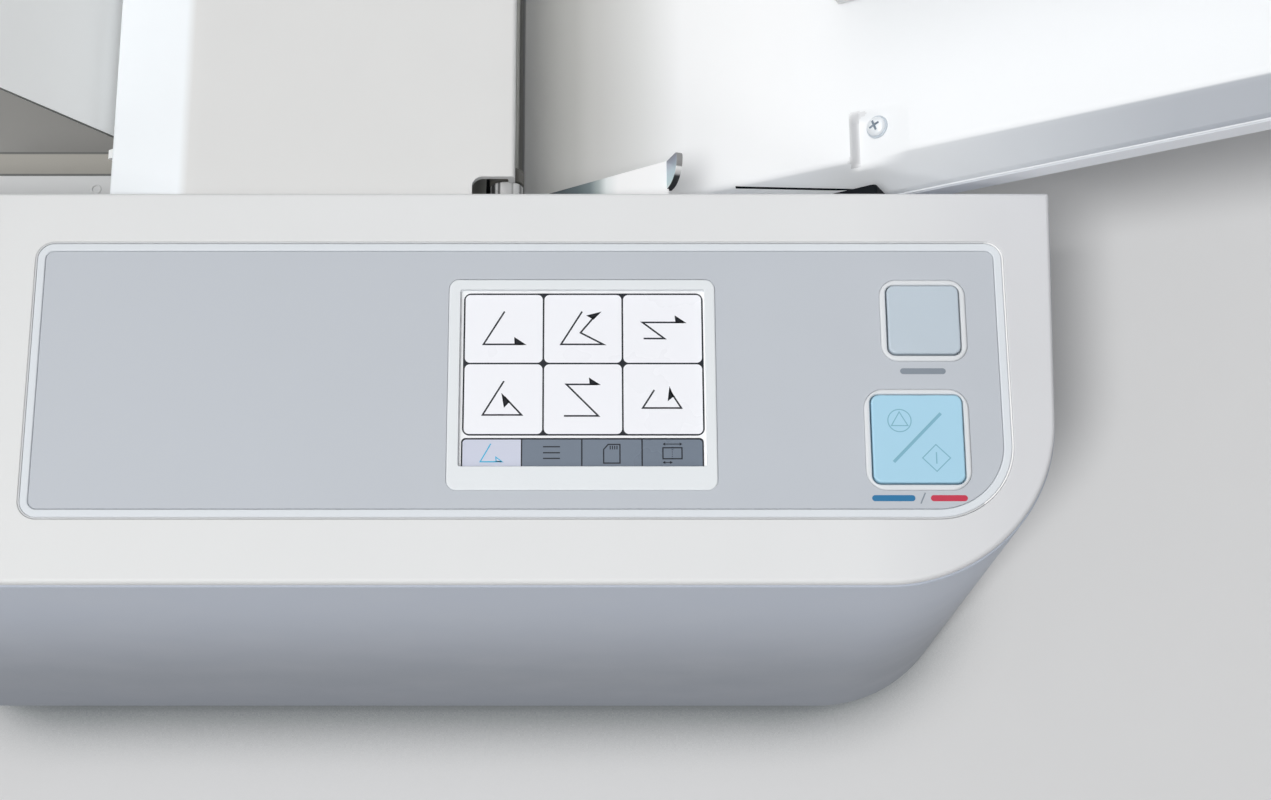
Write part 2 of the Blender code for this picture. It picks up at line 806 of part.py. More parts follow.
def side_outline():
    return (
        (SIDE_LEFT_X, FRAME_BOTTOM_Z),
        (SIDE_RIGHT_X, FRAME_BOTTOM_Z),
        (SIDE_RIGHT_X, SIDE_TOP_Z),
        (NOTCH_RIGHT_X, SIDE_TOP_Z),
        (NOTCH_RIGHT_X, NOTCH_Z),
        (EAR_RIGHT_X, NOTCH_Z),
        (EAR_RIGHT_X, EAR_TOP_Z),
        (EAR_LEFT_X, EAR_TOP_Z),
        (EAR_LEFT_X, SIDE_TOP_Z),
        (REST_RIGHT_X, SIDE_TOP_Z),
        (REST_RIGHT_X, EAR_TOP_Z),
        (REST_LEFT_X, EAR_TOP_Z),
        (REST_LEFT_X, SIDE_TOP_Z),
        (SIDE_LEFT_X, SIDE_TOP_Z),
    )


def side_frame(name, inner, outward):
    """A side plate with raised bearing bosses; the operator's one carries the cross stays and lever stud."""
    outer = inner + outward * SIDE_FRAME_T
    low, high = sorted((inner, outer))
    plate = prism(name, side_outline(), "y", low, high, steel())
    bearings = [(place, JOURNAL_R) for place in ROLLERS]
    bearings.append(((FEED_X, FEED_Z), FEED_SHAFT_R))
    holes = [((HINGE_X, HINGE_Z), HINGE_SPIGOT_R)]
    added = []
    for number, (place, radius) in enumerate(bearings):
        ends = sorted((inner + outward * SIDE_FRAME_T / 2, outer + outward * BOSS_PROUD))
        added.append(rod(f"{name}_boss_{number}", "y", place, BUSH_R, ends[0], ends[1], None, 20))
        holes.append((place, radius))
    if outward > 0:
        holes.append(((CONVEYOR_DRIVE_X, CONVEYOR_DRIVE_Z), CONVEYOR_SHAFT_R))
        holes.append(((MOTOR_X, MOTOR_Z), MOTOR_SHAFT_R))
    else:
        for number, place in enumerate(stay_places()):
            stay = rod(f"stay_{number}", "y", place, STAY_R, outer + SIDE_FRAME_T / 2, SPACE_REAR_Y - GAP)
            added.append(stay)
        web_out = LEVER_WEB_Y - LEVER_T / 2 - GAP
        profile = (
            (web_out - LEVER_HEAD_T, LEVER_PIN_R + LEVER_HEAD),
            (web_out, LEVER_PIN_R + LEVER_HEAD),
            (web_out, LEVER_PIN_R),
            (outer + SIDE_FRAME_T / 2, LEVER_PIN_R),
        )
        added.append(turned("lever_stud", "y", (LEVER_X, LEVER_Z), profile, steel(), SMALL_ROUND))
    drills = []
    for number, (place, radius) in enumerate(holes):
        drills.append(rod(f"{name}_drill_{number}", "y", place, radius + GAP, low - PAST, high + PAST))
    join(plate, *added)
    cut(plate, *drills)


# Operator's pod
def operator_housing():
    rear = FRAME_FRONT_OUT_Y - GAP
    top = POD_TOP_Z - TOP_T - GAP
    shell = prism("operator_housing", pod_outline(-HOUSING_PROUD, rear), "z", HOUSING_BOTTOM_Z, top, grey())
    inner = pod_outline(HOUSING_WALL - HOUSING_PROUD, rear + PAST)
    cut(shell, prism("housing_hollow", inner, "z", HOUSING_BOTTOM_Z - PAST, top + PAST))
    smooth(shell)


def boss_places():
    places = []
    for x in (BOARD_LEFT_X + BOSS_INSET_X, BOARD_RIGHT_X - BOSS_INSET_X):
        for y in (BOARD_FRONT_Y + BOSS_INSET_Y, BOARD_REAR_Y - BOSS_INSET_Y):
            places.append((x, y))
    return places


def control_cover():
    low = POD_TOP_Z - TOP_T

    def outline(inset):
        return pod_outline(inset, SPACE_FRONT_Y - inset)

    cover = topped("control_cover", outline, low, POD_TOP_Z, TOP_EDGE_R, white())
    lip_out = HOUSING_WALL - HOUSING_PROUD + GAP
    lip_low = low - TOP_LIP_DEPTH
    lip = prism("cover_lip", outline(lip_out), "z", lip_low, low + TOP_T / 2)
    lip_hollow = prism("lip_hollow", outline(lip_out + TOP_LIP_T), "z", lip_low - 0.001, low)
    bosses = []
    for number, place in enumerate(boss_places()):
        boss = rod(f"cover_boss_{number}", "z", place, BOSS_R, BOARD_TOP_Z + GAP, low + TOP_T / 2)
        bosses.append(boss)
    seat = prism("panel_seat", panel_outline(0.0), "z", POD_TOP_Z - LEDGE_DEPTH, POD_TOP_Z + PAST)
    well = prism("panel_well", panel_outline(PANEL_LEDGE), "z", low - PAST, POD_TOP_Z + PAST)
    join(cover, lip)
    cut(cover, lip_hollow)
    join(cover, *bosses)
    cut(cover, seat, well)


def button_holes(name, margin, low, high):
    """Cutters for the two button caps."""
    made = []
    for x, y, size in ((TEST_X, TEST_Y, TEST_CAP), (START_X, START_Y, START_CAP)):
        outline = square(x, y, size + 2 * margin, CAP_R + margin)
        made.append(prism(f"{name}_{len(made)}", outline, "z", low, high))
    return made


def panel_plate():
    plate = prism("panel_plate", panel_outline(GAP), "z", PANEL_LOW_Z, PANEL_TOP_Z, white())
    recess = prism("panel_recess", panel_outline(PANEL_RIM), "z", RECESS_Z, PANEL_TOP_Z + PAST)
    body = prism("panel_screen_hole", bezel_outline(BEZEL_FLANGE - GAP), "z",
                 PANEL_LOW_Z - PAST, RECESS_Z + 0.001)
    holes = button_holes("panel_hole", SLIDE_GAP, PANEL_LOW_Z - PAST, RECESS_Z + 0.001)
    cut(plate, recess, body, *holes)


def control_fascia():
    low = RECESS_Z + GAP
    high = low + FASCIA_T
    fascia = prism("control_fascia", panel_outline(PANEL_RIM + GAP), "z", low, high, grey())
    screen = prism("fascia_screen_hole", bezel_outline(-GAP), "z", low - PAST, high + PAST)
    cutters = [screen]
    for x, y, size in ((TEST_X, TEST_Y, TEST_RING), (START_X, START_Y, START_RING)):
        outline = square(x, y, size + 2 * GAP, RING_R + GAP)
        cutters.append(prism(f"fascia_ring_hole_{len(cutters)}", outline, "z", low - PAST, high + PAST))
    cut(fascia, *cutters)


def screen_bezel():
    flange_low = RECESS_Z + GAP
    bezel = prism("screen_bezel", bezel_outline(0.0), "z", flange_low, PANEL_TOP_Z, white())
    body = prism("bezel_body", bezel_outline(BEZEL_FLANGE), "z",
                 PANEL_TOP_Z - BEZEL_BODY_T, flange_low + 0.0003)
    pocket = prism("bezel_pocket", bezel_outline(BEZEL_FLANGE + BEZEL_WALL), "z",
                   PANEL_TOP_Z - BEZEL_BODY_T - PAST, PANEL_TOP_Z - WINDOW_LIP_T)
    window = slab(WINDOW_MIDDLE_X - WINDOW_WIDTH / 2, WINDOW_MIDDLE_Y - WINDOW_DEPTH / 2,
                  WINDOW_MIDDLE_X + WINDOW_WIDTH / 2, WINDOW_MIDDLE_Y + WINDOW_DEPTH / 2, 0.0006)
    opening = prism("bezel_window", window, "z", PANEL_TOP_Z - 0.004, PANEL_TOP_Z + PAST)
    join(bezel, body)
    cut(bezel, pocket, opening)


def touch_screen():
    high = PANEL_TOP_Z - WINDOW_LIP_T - GAP
    outline = bezel_outline(BEZEL_FLANGE + BEZEL_WALL + GAP)
    prism("touch_screen", outline, "z", high - SCREEN_T, high, dark())


def button_ring(name, x, y, ring, cap):
    low = RECESS_Z + GAP
    item = prism(name, square(x, y, ring, RING_R), "z", low, PANEL_TOP_Z + RING_PROUD, white())
    hole = square(x, y, cap + 2 * SLIDE_GAP, CAP_R + SLIDE_GAP)
    cut(item, prism(f"{name}_hole", hole, "z", low - PAST, PANEL_TOP_Z + PAST))


def button(name, x, y, cap, colour):
    """A cap with a skirt under the panel plate that keeps it in."""
    skirt_top = PANEL_LOW_Z - GAP
    skirt_low = skirt_top - CAP_SKIRT_T

    def outline(inset):
        return square(x, y, cap - 2 * inset, CAP_R - inset)

    item = topped(name, outline, skirt_low, PANEL_TOP_Z + CAP_PROUD, CAP_EDGE_R,
                  paint(name, colour, 0.4), 2)
    skirt = prism(f"{name}_skirt", square(x, y, cap + 2 * CAP_SKIRT, CAP_R), "z", skirt_low, skirt_top)
    join(item, skirt)
    place_origin(item, (x, y, PANEL_TOP_Z))


def control_board():
    board = box("control_board", (BOARD_LEFT_X, BOARD_FRONT_Y, BOARD_TOP_Z - BOARD_T),
                (BOARD_RIGHT_X, BOARD_REAR_Y, BOARD_TOP_Z), paint("board", (0.02, 0.16, 0.06), 0.5))
    parts = []
    for x, y in ((TEST_X, TEST_Y), (START_X, START_Y)):
        half = SWITCH_SIZE / 2
        low = (x - half, y - half, BOARD_TOP_Z - BOARD_T / 2)
        high = (x + half, y + half, BOARD_TOP_Z + SWITCH_T)
        parts.append(box(f"board_switch_{len(parts)}", low, high))
    join(board, *parts)


# Drive side: housing, cover, mains inlet and rocker switch
def centred(x, z, width, height, radius=0.0015):
    return slab(x - width / 2, z - height / 2, x + width / 2, z + height / 2, radius)


def drive_housing():
    front = FRAME_REAR_OUT_Y + GAP
    top = DRIVE_TOP_Z - DRIVE_TOP_T - GAP
    shell = prism("drive_housing", drive_outline(0.0, front), "z", HOUSING_BOTTOM_Z, top, grey())
    hollow = prism("drive_hollow", drive_outline(HOUSING_WALL, front - PAST), "z",
                   HOUSING_BOTTOM_Z - PAST, top + PAST)
    wall_y = HALF_WIDTH - HOUSING_WALL
    inlet = prism("inlet_hole", centred(INLET_X, INLET_Z, INLET_WIDTH + 2 * GAP, INLET_HEIGHT + 2 * GAP),
                  "y", wall_y - PAST, HALF_WIDTH + PAST)
    rocker_outline = centred(SWITCH_X, INLET_Z, ROCKER_WIDTH + 2 * GAP, ROCKER_HEIGHT + 4 * SLIDE_GAP, GAP)
    rocker = prism("rocker_hole", rocker_outline, "y", wall_y - PAST, HALF_WIDTH + PAST)
    cut(shell, hollow, inlet, rocker)
    smooth(shell)


def drive_cover():
    low = DRIVE_TOP_Z - DRIVE_TOP_T

    def outline(inset):
        return drive_outline(inset, SPACE_REAR_Y + inset)

    cover = topped("drive_cover", outline, low, DRIVE_TOP_Z, TOP_EDGE_R, white())
    lip_out = HOUSING_WALL + GAP
    lip = prism("drive_lip", outline(lip_out), "z", low - TOP_LIP_DEPTH, low + TOP_T)
    hollow = prism("drive_lip_hollow", outline(lip_out + TOP_LIP_T), "z", low - TOP_LIP_DEPTH - 0.001, low)
    join(cover, lip)
    cut(cover, hollow)


def power_inlet():
    low = HALF_WIDTH - INLET_DEPTH
    outline = centred(INLET_X, INLET_Z, INLET_WIDTH, INLET_HEIGHT)
    body = prism("power_inlet", outline, "y", low, HALF_WIDTH, dark())
    hollow = centred(INLET_X, INLET_Z, INLET_WIDTH - 2 * INLET_WALL, INLET_HEIGHT - 2 * INLET_WALL)
    socket = prism("inlet_socket", hollow, "y", low + INLET_WALL, HALF_WIDTH + PAST)
    cut(body, socket)
    pins = []
    for across, up in INLET_PINS:
        x = INLET_X + across
        z = INLET_Z + up
        near = (x - INLET_PIN_HALF_X, low + INLET_WALL / 2, z - INLET_PIN_HALF_Z)
        far = (x + INLET_PIN_HALF_X, HALF_WIDTH - INLET_PIN_SHY, z + INLET_PIN_HALF_Z)
        pins.append(box(f"inlet_pin_{len(pins)}", near, far))
    join(body, *pins)


def power_switch():
    half = ROCKER_HEIGHT / 2
    pivot_y = HALF_WIDTH - ROCKER_DEPTH / 2
    outline = (
        (HALF_WIDTH - ROCKER_DEPTH, INLET_Z - half * ROCKER_TAPER),
        (HALF_WIDTH, INLET_Z - half),
        (HALF_WIDTH - ROCKER_DISH, INLET_Z),
        (HALF_WIDTH, INLET_Z + half),
        (HALF_WIDTH - ROCKER_DEPTH, INLET_Z + half * ROCKER_TAPER),
    )
    left = SWITCH_X - ROCKER_WIDTH / 2
    rocker = prism("power_switch", outline, "x", left, left + ROCKER_WIDTH, dark())
    place_origin(rocker, (SWITCH_X, pivot_y, INLET_Z))


# Fold rollers, gears, bushes and belts
def roller_profile(radius, shaft_r, extras, rear_end):
    """(y, radius) down a roller: journal, body, journal, then any pulleys."""
    body_low = SPACE_FRONT_Y + ROLLER_END_GAP
    body_high = SPACE_REAR_Y - ROLLER_END_GAP
    profile = [
        (FRAME_FRONT_OUT_Y - BOSS_PROUD - GAP, shaft_r),
        (body_low, shaft_r),
        (body_low, radius),
        (body_high, radius),
        (body_high, shaft_r),
    ]
    for start, pulley_r in extras:
        profile += [(start, shaft_r), (start, pulley_r)]
        profile += [(start + PULLEY_WIDTH, pulley_r), (start + PULLEY_WIDTH, shaft_r)]
    if profile[-1][0] < rear_end:
        profile.append((rear_end, shaft_r))
    return profile


def fold_rollers():
    gear_end = GEAR_LAYER_Y + GEAR_WIDTH + 0.001
    extras = (
        [(OUTER_LAYER_Y, SMALL_PULLEY_R)],
        [(PULLEY_LAYER_Y, MAIN_PULLEY_R)],
        [],
        [(OUTER_LAYER_Y, SMALL_PULLEY_R)],
    )
    for number, (place, pulleys) in enumerate(zip(ROLLERS, extras), 1):
        profile = roller_profile(ROLLER_R, JOURNAL_R, pulleys, gear_end)
        item = turned(f"fold_roller_{number}", "y", (0.0, 0.0), profile, rubber())
        item.location = (place[0], 0.0, place[1])


def gear_outline(phase):
    """A spur gear with straight flanks, its teeth turned by a phase in radians."""
    pitch_r = ROLLER_PITCH / 2
    tooth = math.pi * pitch_r / GEAR_TEETH - GEAR_BACKLASH / 2
    flank = math.tan(math.radians(20.0))
    root_r = pitch_r - GEAR_DEDENDUM
    tip_r = pitch_r + GEAR_ADDENDUM
    root_half = (tooth / 2 + GEAR_DEDENDUM * flank) / root_r
    tip_half = (tooth / 2 - GEAR_ADDENDUM * flank) / tip_r
    outline = []
    for tooth_number in range(GEAR_TEETH):
        middle = phase + 2 * math.pi * tooth_number / GEAR_TEETH
        for radius, angle in ((root_r, -root_half), (tip_r, -tip_half), (tip_r, tip_half), (root_r, root_half)):
            outline.append((radius * math.cos(middle + angle), radius * math.sin(middle + angle)))
    return outline


def fold_gears():
    half_tooth = math.pi / GEAR_TEETH
    for number, place in enumerate(ROLLERS, 1):
        phase = half_tooth if number % 2 == 0 else 0.0
        gear = prism(f"fold_gear_{number}", gear_outline(phase), "y",
                     GEAR_LAYER_Y, GEAR_LAYER_Y + GEAR_WIDTH, steel())
        bore = rod(f"gear_bore_{number}", "y", (0.0, 0.0), JOURNAL_R + GAP, GEAR_LAYER_Y - PAST,
                   GEAR_LAYER_Y + GEAR_WIDTH + PAST, None, ROUND)
        gear.location = (place[0], 0.0, place[1])
        bore.location = gear.location
        cut(gear, bore)


def feed_roller():
    """Two rubber tyres on one shaft, with its pulley."""
    profile = [(FRAME_FRONT_OUT_Y - BOSS_PROUD - GAP, FEED_SHAFT_R)]
    for side in (-0.5, 0.5):
        low = SPACE_MIDDLE_Y + side * FEED_TYRE_PITCH - FEED_TYRE_WIDTH / 2
        high = low + FEED_TYRE_WIDTH
        profile += [(low, FEED_SHAFT_R), (low, FEED_R), (high, FEED_R), (high, FEED_SHAFT_R)]
    profile += [
        (OUTER_LAYER_Y, FEED_SHAFT_R),
        (OUTER_LAYER_Y, SMALL_PULLEY_R),
        (OUTER_LAYER_Y + PULLEY_WIDTH, SMALL_PULLEY_R),
    ]
    roller = turned("feed_roller", "y", (0.0, 0.0), profile, rubber())
    roller.location = (FEED_X, 0.0, FEED_Z)


def drive_motor():
    front = FRAME_REAR_IN_Y - GAP
    bore_end = front - 0.006
    profile = (
        (front - MOTOR_LENGTH, MOTOR_R * 0.9),
        (front - MOTOR_LENGTH + 0.004, MOTOR_R),
        (front, MOTOR_R),
        (front, MOTOR_SHAFT_R + GAP),
        (bore_end, MOTOR_SHAFT_R + GAP),
    )
    turned("drive_motor", "y", (MOTOR_X, MOTOR_Z), profile, paint("motor", (0.12, 0.12, 0.13), 0.5, 0.6))
    shaft_profile = (
        (bore_end + GAP, MOTOR_SHAFT_R),
        (PULLEY_LAYER_Y, MOTOR_SHAFT_R),
        (PULLEY_LAYER_Y, MOTOR_PULLEY_R),
        (PULLEY_LAYER_Y + PULLEY_WIDTH, MOTOR_PULLEY_R),
    )
    pulley = turned("motor_pulley", "y", (0.0, 0.0), shaft_profile, steel(), SMALL_ROUND)
    pulley.location = (MOTOR_X, 0.0, MOTOR_Z)


def belt_outline(first, first_r, second, second_r, steps=12):
    """An open-belt outline round two pulleys, in X and Z."""
    run = Vector(second) - Vector(first)
    heading = math.atan2(run.y, run.x)
    wrap = math.acos((first_r - second_r) / run.length)
    outline = []
    for step in range(steps + 1):
        angle = heading + wrap + (2 * math.pi - 2 * wrap) * step / steps
        outline.append((first[0] + first_r * math.cos(angle), first[1] + first_r * math.sin(angle)))
    for step in range(steps + 1):
        angle = heading - wrap + 2 * wrap * step / steps
        outline.append((second[0] + second_r * math.cos(angle), second[1] + second_r * math.sin(angle)))
    return outline


def belt(name, first, first_r, second, second_r, thickness, low, high):
    bm = bmesh.new()
    inner = belt_outline(first, first_r + GAP, second, second_r + GAP)
    outer = belt_outline(first, first_r + GAP + thickness, second, second_r + GAP + thickness)
    rings = []
    for outline, y in ((inner, low), (outer, low), (outer, high), (inner, high)):
        rings.append([bm.verts.new((x, y, z)) for x, z in outline])
    for ring, following in zip(rings, rings[1:] + rings[:1]):
        for index in range(len(ring)):
            after = (index + 1) % len(ring)
            bm.faces.new((ring[index], ring[after], following[after], following[index]))
    smooth(make(name, bm, rubber()))


def drive_belts():
    side = (PULLEY_WIDTH - BELT_WIDTH) / 2
    drive = (CONVEYOR_DRIVE_X, CONVEYOR_DRIVE_Z)
    runs = (
        ("main_belt", (MOTOR_X, MOTOR_Z), MOTOR_PULLEY_R, ROLLERS[1], MAIN_PULLEY_R, PULLEY_LAYER_Y),
        ("feed_belt", ROLLERS[0], SMALL_PULLEY_R, (FEED_X, FEED_Z), SMALL_PULLEY_R, OUTER_LAYER_Y),
        ("delivery_belt", ROLLERS[3], SMALL_PULLEY_R, drive, SMALL_PULLEY_R, OUTER_LAYER_Y),
    )
    for name, first, first_r, second, second_r, layer in runs:
        low = layer + side
        belt(name, first, first_r, second, second_r, BELT_T, low, low + BELT_WIDTH)


def power_supply():
    low = (SUPPLY_LEFT_X, SUPPLY_FRONT_Y, PAN_BOTTOM_Z + PAN_T + GAP)
    high = (low[0] + SUPPLY_LENGTH, low[1] + SUPPLY_DEPTH, low[2] + SUPPLY_HEIGHT)
    box("power_supply", low, high, sheet_paint())


# Roller cover, its pins and the gate plate
def cover_outline():
    right = COVER_RIGHT_X
    top = COVER_TOP_Z
    under = top - COVER_T
    left_z = top - COVER_DROP
    return rounded([
        (right, top - COVER_FLANGE, 0.0),
        (right, top, COVER_EDGE_R),
        (COVER_FLAT_X, top, COVER_BEND_R),
        (COVER_LEFT_X, left_z, 0.0),
        (COVER_LEFT_X + COVER_LEAN, left_z - COVER_T, 0.0),
        (COVER_FLAT_X, under, COVER_BEND_R - COVER_T),
        (right - COVER_T, under, 0.0),
        (right - COVER_T, top - COVER_FLANGE, 0.0),
    ], 4)


def roller_cover():
    low = SPACE_FRONT_Y + COVER_SIDE_GAP
    high = SPACE_REAR_Y - COVER_SIDE_GAP
    cover = prism("roller_cover", cover_outline(), "y", low, high, white())
    lugs = []
    notches = []
    bores = []
    for number, (edge, inward) in enumerate(((low, 1), (high, -1))):
        deep = edge + inward * COVER_NOTCH_DEPTH
        outline = rounded([
            (COVER_NOTCH_X, edge - inward * PAST, 0.0),
            (COVER_NOTCH_X, deep, COVER_NOTCH_R),
            (COVER_RIGHT_X + PAST, deep, 0.0),
            (COVER_RIGHT_X + PAST, edge - inward * PAST, 0.0),
        ])
        notches.append(prism(f"cover_notch_{number}", outline, "z", HINGE_Z - PAST, COVER_TOP_Z + PAST))
        collar_end = SPACE_FRONT_Y if inward > 0 else SPACE_REAR_Y
        lug_start = collar_end + inward * (GAP + HINGE_COLLAR_LENGTH + GAP)
        ends = sorted((lug_start, lug_start + inward * LUG_T))
        lug = rod(f"cover_lug_{number}", "y", (HINGE_X, HINGE_Z), LUG_R, ends[0], ends[1], None, 24)
        neck_outline = (
            (HINGE_X - LUG_R * 0.9, HINGE_Z),
            (HINGE_X + LUG_NECK, HINGE_Z),
            (HINGE_X + LUG_NECK, COVER_TOP_Z - COVER_T / 2),
            (HINGE_X - LUG_R * 0.9, COVER_TOP_Z - COVER_T / 2),
        )
        neck = prism(f"cover_neck_{number}", neck_outline, "y", ends[0], ends[1])
        lugs += [lug, neck]
        bores.append(rod(f"cover_bore_{number}", "y", (HINGE_X, HINGE_Z), HINGE_SPIGOT_R + GAP,
                         ends[0] - 0.001, ends[1] + 0.001, None, 24))
    cut(cover, *notches)
    join(cover, *lugs)
    cut(cover, *bores)
    smooth(cover)
    place_origin(cover, (HINGE_X, SPACE_MIDDLE_Y, HINGE_Z))


def hinge_pins():
    """The pins that the roller cover turns on, one in each side frame."""
    sides = (
        ("cover_hinge_pin_front", FRAME_FRONT_IN_Y, FRAME_FRONT_OUT_Y, 1),
        ("cover_hinge_pin_rear", FRAME_REAR_IN_Y, FRAME_REAR_OUT_Y, -1),
    )
    for name, face_in, face_out, inward in sides:
        collar = face_in + inward * GAP
        shoulder = collar + inward * HINGE_COLLAR_LENGTH
        profile = (
            (face_out - inward * 0.0015, HINGE_SPIGOT_R),
            (collar, HINGE_SPIGOT_R),
            (collar, HINGE_COLLAR_R),
            (shoulder, HINGE_COLLAR_R),
            (shoulder, HINGE_SPIGOT_R),
            (shoulder + inward * HINGE_SPIGOT_LENGTH, HINGE_SPIGOT_R),
        )
        turned(name, "y", (HINGE_X, HINGE_Z), profile, paint("chrome", (0.75, 0.75, 0.76), 0.15, 1.0), 20)


def gate_plate():
    gate = box("gate_plate", (GATE_X, FRAME_FRONT_IN_Y + GAP, GATE_BOTTOM_Z),
               (GATE_X + GATE_T, FRAME_REAR_IN_Y - GAP, GATE_TOP_Z), dark())
    window = box("gate_window", (GATE_X - PAST, SPACE_MIDDLE_Y - GATE_WINDOW_HALF, GATE_WINDOW_BOTTOM_Z),
                 (GATE_X + PAST, SPACE_MIDDLE_Y + GATE_WINDOW_HALF, GATE_TOP_Z + PAST))
    cut(gate, window)


def separator_pad():
    right = GATE_X - GAP
    low_z = GATE_WINDOW_BOTTOM_Z - PAD_BELOW_WINDOW
    high_z = FEED_Z - FEED_R - SLIDE_GAP
    box("separator_pad", (right - PAD_LENGTH, SPACE_MIDDLE_Y - PAD_WIDTH / 2, low_z),
        (right, SPACE_MIDDLE_Y + PAD_WIDTH / 2, high_z), paint("cork", (0.35, 0.2, 0.1), 0.9))


# Feed tray and what sits on it
def tray_section(x, top, inset, drop, shoulder):
    """Half-open section of the tray at x, from the front rim over the top to the rear rim."""
    front = SPACE_MIDDLE_Y - TRAY_HALF_WIDTH + inset
    rear = SPACE_MIDDLE_Y + TRAY_HALF_WIDTH - inset
    tilt = math.radians(TRAY_SIDE_TILT)
    reach = drop / math.tan(tilt) + shoulder * math.tan(tilt / 2)
    turns = []
    steps = 4
    for step in range(steps + 1):
        angle = tilt * (1 - step / steps)
        turns.append((reach - shoulder * math.sin(angle), top - shoulder * (1 - math.cos(angle))))
    points = [(x, front, top - drop)]
    points += [(x, front + inward, z) for inward, z in turns]
    points += [(x, rear - inward, z) for inward, z in reversed(turns)]
    points.append((x, rear, top - drop))
    return points


def feed_tray():
    outer = []
    inner = []
    stations = tray_stations()
    for number, (x, z) in enumerate(stations):
        end = number == len(stations) - 1
        outer.append(tray_section(x, z, 0.0, TRAY_SIDE, TRAY_SHOULDER_R))
        inner_x = x - TRAY_T if end else x
        inner_top = (rise_z(inner_x) if end else z) - TRAY_T
        section = tray_section(inner_x, inner_top, TRAY_T, TRAY_SIDE - TRAY_T, TRAY_SHOULDER_INNER_R)
        inner.append(section)
    tray = loft("feed_tray", outer, inner, white(), True)
    mouth = LIFT_HALF_WIDTH + LIFT_CLEARANCE
    bosses = []
    for number, side in enumerate((-1, 1)):
        ends = sorted((SPACE_MIDDLE_Y + side * mouth, SPACE_MIDDLE_Y + side * (mouth + TRAY_BOSS_T)))
        low = (LIFT_PIVOT_X - TRAY_BOSS_HALF, ends[0], LIFT_PIVOT_Z - TRAY_BOSS_HALF)
        high = (LIFT_PIVOT_X + TRAY_BOSS_HALF, ends[1], tray_top_z(LIFT_PIVOT_X) - TRAY_T * 0.6)
        bosses.append(box(f"tray_boss_{number}", low, high))
    opening = box("lift_opening", (TRAY_LEFT_X - PAST, SPACE_MIDDLE_Y - mouth, TRAY_LEVEL_Z - 0.02),
                  (LIFT_PIVOT_X + LIFT_KNUCKLE_R + LIFT_CLEARANCE, SPACE_MIDDLE_Y + mouth, TRAY_LEVEL_Z + 0.04))
    stay_x, stay_z = stay_places()[1]
    notch_half = STAY_R + GAP
    notch = box("tray_stay_notch", (stay_x - notch_half, SPACE_FRONT_Y, TRAY_LEVEL_Z - 2 * TRAY_SIDE),
                (stay_x + notch_half, SPACE_REAR_Y, stay_z + notch_half))
    pin_hole = rod("lift_pin_hole", "y", (LIFT_PIVOT_X, LIFT_PIVOT_Z), LIFT_PIN_R + GAP,
                   SPACE_MIDDLE_Y - mouth - PAST, SPACE_MIDDLE_Y + mouth + PAST, None, 12)
    join(tray, *bosses)
    cut(tray, opening, notch, pin_hole)
    tilt = math.atan(TRAY_SLOPE)
    pockets = []
    for number, (x, y, side) in enumerate(screw_places()):
        pocket_end = SPACE_MIDDLE_Y + side * (TRAY_HALF_WIDTH + PAST)
        pocket_y = sorted((y - side * SCREW_POCKET_R, pocket_end))
        pocket = prism(f"screw_pocket_{number}",
                       slab(-SCREW_POCKET_R, pocket_y[0], SCREW_POCKET_R, pocket_y[1], 0.003), "z",
                       -SCREW_POCKET_DEPTH, 0.003)
        pocket.location = (x, 0.0, rise_z(x))
        pocket.rotation_euler = (0.0, -tilt, 0.0)
        pockets.append(pocket)
    cut(tray, *pockets)
    smooth(tray)


def screw_places():
    """(x, y, side) of the tray screws."""
    places = []
    for x in (SCREW_X, SCREW_FAR_X):
        for side in (-1, 1):
            places.append((x, SPACE_MIDDLE_Y + side * (TRAY_HALF_WIDTH - SCREW_INSET), side))
    return places


def base_section(x, inset):
    """Section of the tray's base, from the front rim under the floor to the rear rim."""
    top = rise_z(x) - TRAY_SIDE - GAP
    low = top - TRAY_BASE_DEPTH + inset
    front = SPACE_MIDDLE_Y - TRAY_HALF_WIDTH - TRAY_BASE_PROUD + inset
    rear = SPACE_MIDDLE_Y + TRAY_HALF_WIDTH + TRAY_BASE_PROUD - inset
    turn = TRAY_BASE_R
    return [
        (x, front, top),
        (x, front, low + turn),
        (x, front + turn * 0.3, low + turn * 0.3),
        (x, front + turn, low),
        (x, rear - turn, low),
        (x, rear - turn * 0.3, low + turn * 0.3),
        (x, rear, low + turn),
        (x, rear, top),
    ]


def feed_tray_base():
    ends = (TRAY_BASE_LEFT_X, HALF_LENGTH - TRAY_BASE_SHY)
    outer = [base_section(x, 0.0) for x in ends]
    inner = [base_section(x, TRAY_BASE_T) for x in (ends[0], ends[1] - TRAY_BASE_T)]
    loft("feed_tray_base", outer, inner, grey(), True)


def lift_plate():
    run = Vector((LIFT_TIP_X - LIFT_PIVOT_X, LIFT_TIP_Z - LIFT_PIVOT_Z))
    degrees = math.degrees(math.atan2(run.y, run.x))
    point = tilted((0.0, 0.0), degrees)
    low = SPACE_MIDDLE_Y - LIFT_HALF_WIDTH
    high = SPACE_MIDDLE_Y + LIFT_HALF_WIDTH
    top = LIFT_KNUCKLE_R - 0.0002
    plate = prism("lift_plate", band(point, 0.0, run.length, -top, -top + LIFT_T), "y", low, high, steel())
    knuckle = rod("lift_knuckle", "y", (0.0, 0.0), LIFT_KNUCKLE_R, low, high, None, SMALL_ROUND)
    reach = LIFT_CLEARANCE + TRAY_BOSS_T
    pin = rod("lift_pin", "y", (0.0, 0.0), LIFT_PIN_R, low - reach, high + reach, None, 12)
    for item in (plate, knuckle, pin):
        item.location = (LIFT_PIVOT_X, 0.0, LIFT_PIVOT_Z)
    join(plate, knuckle, pin)


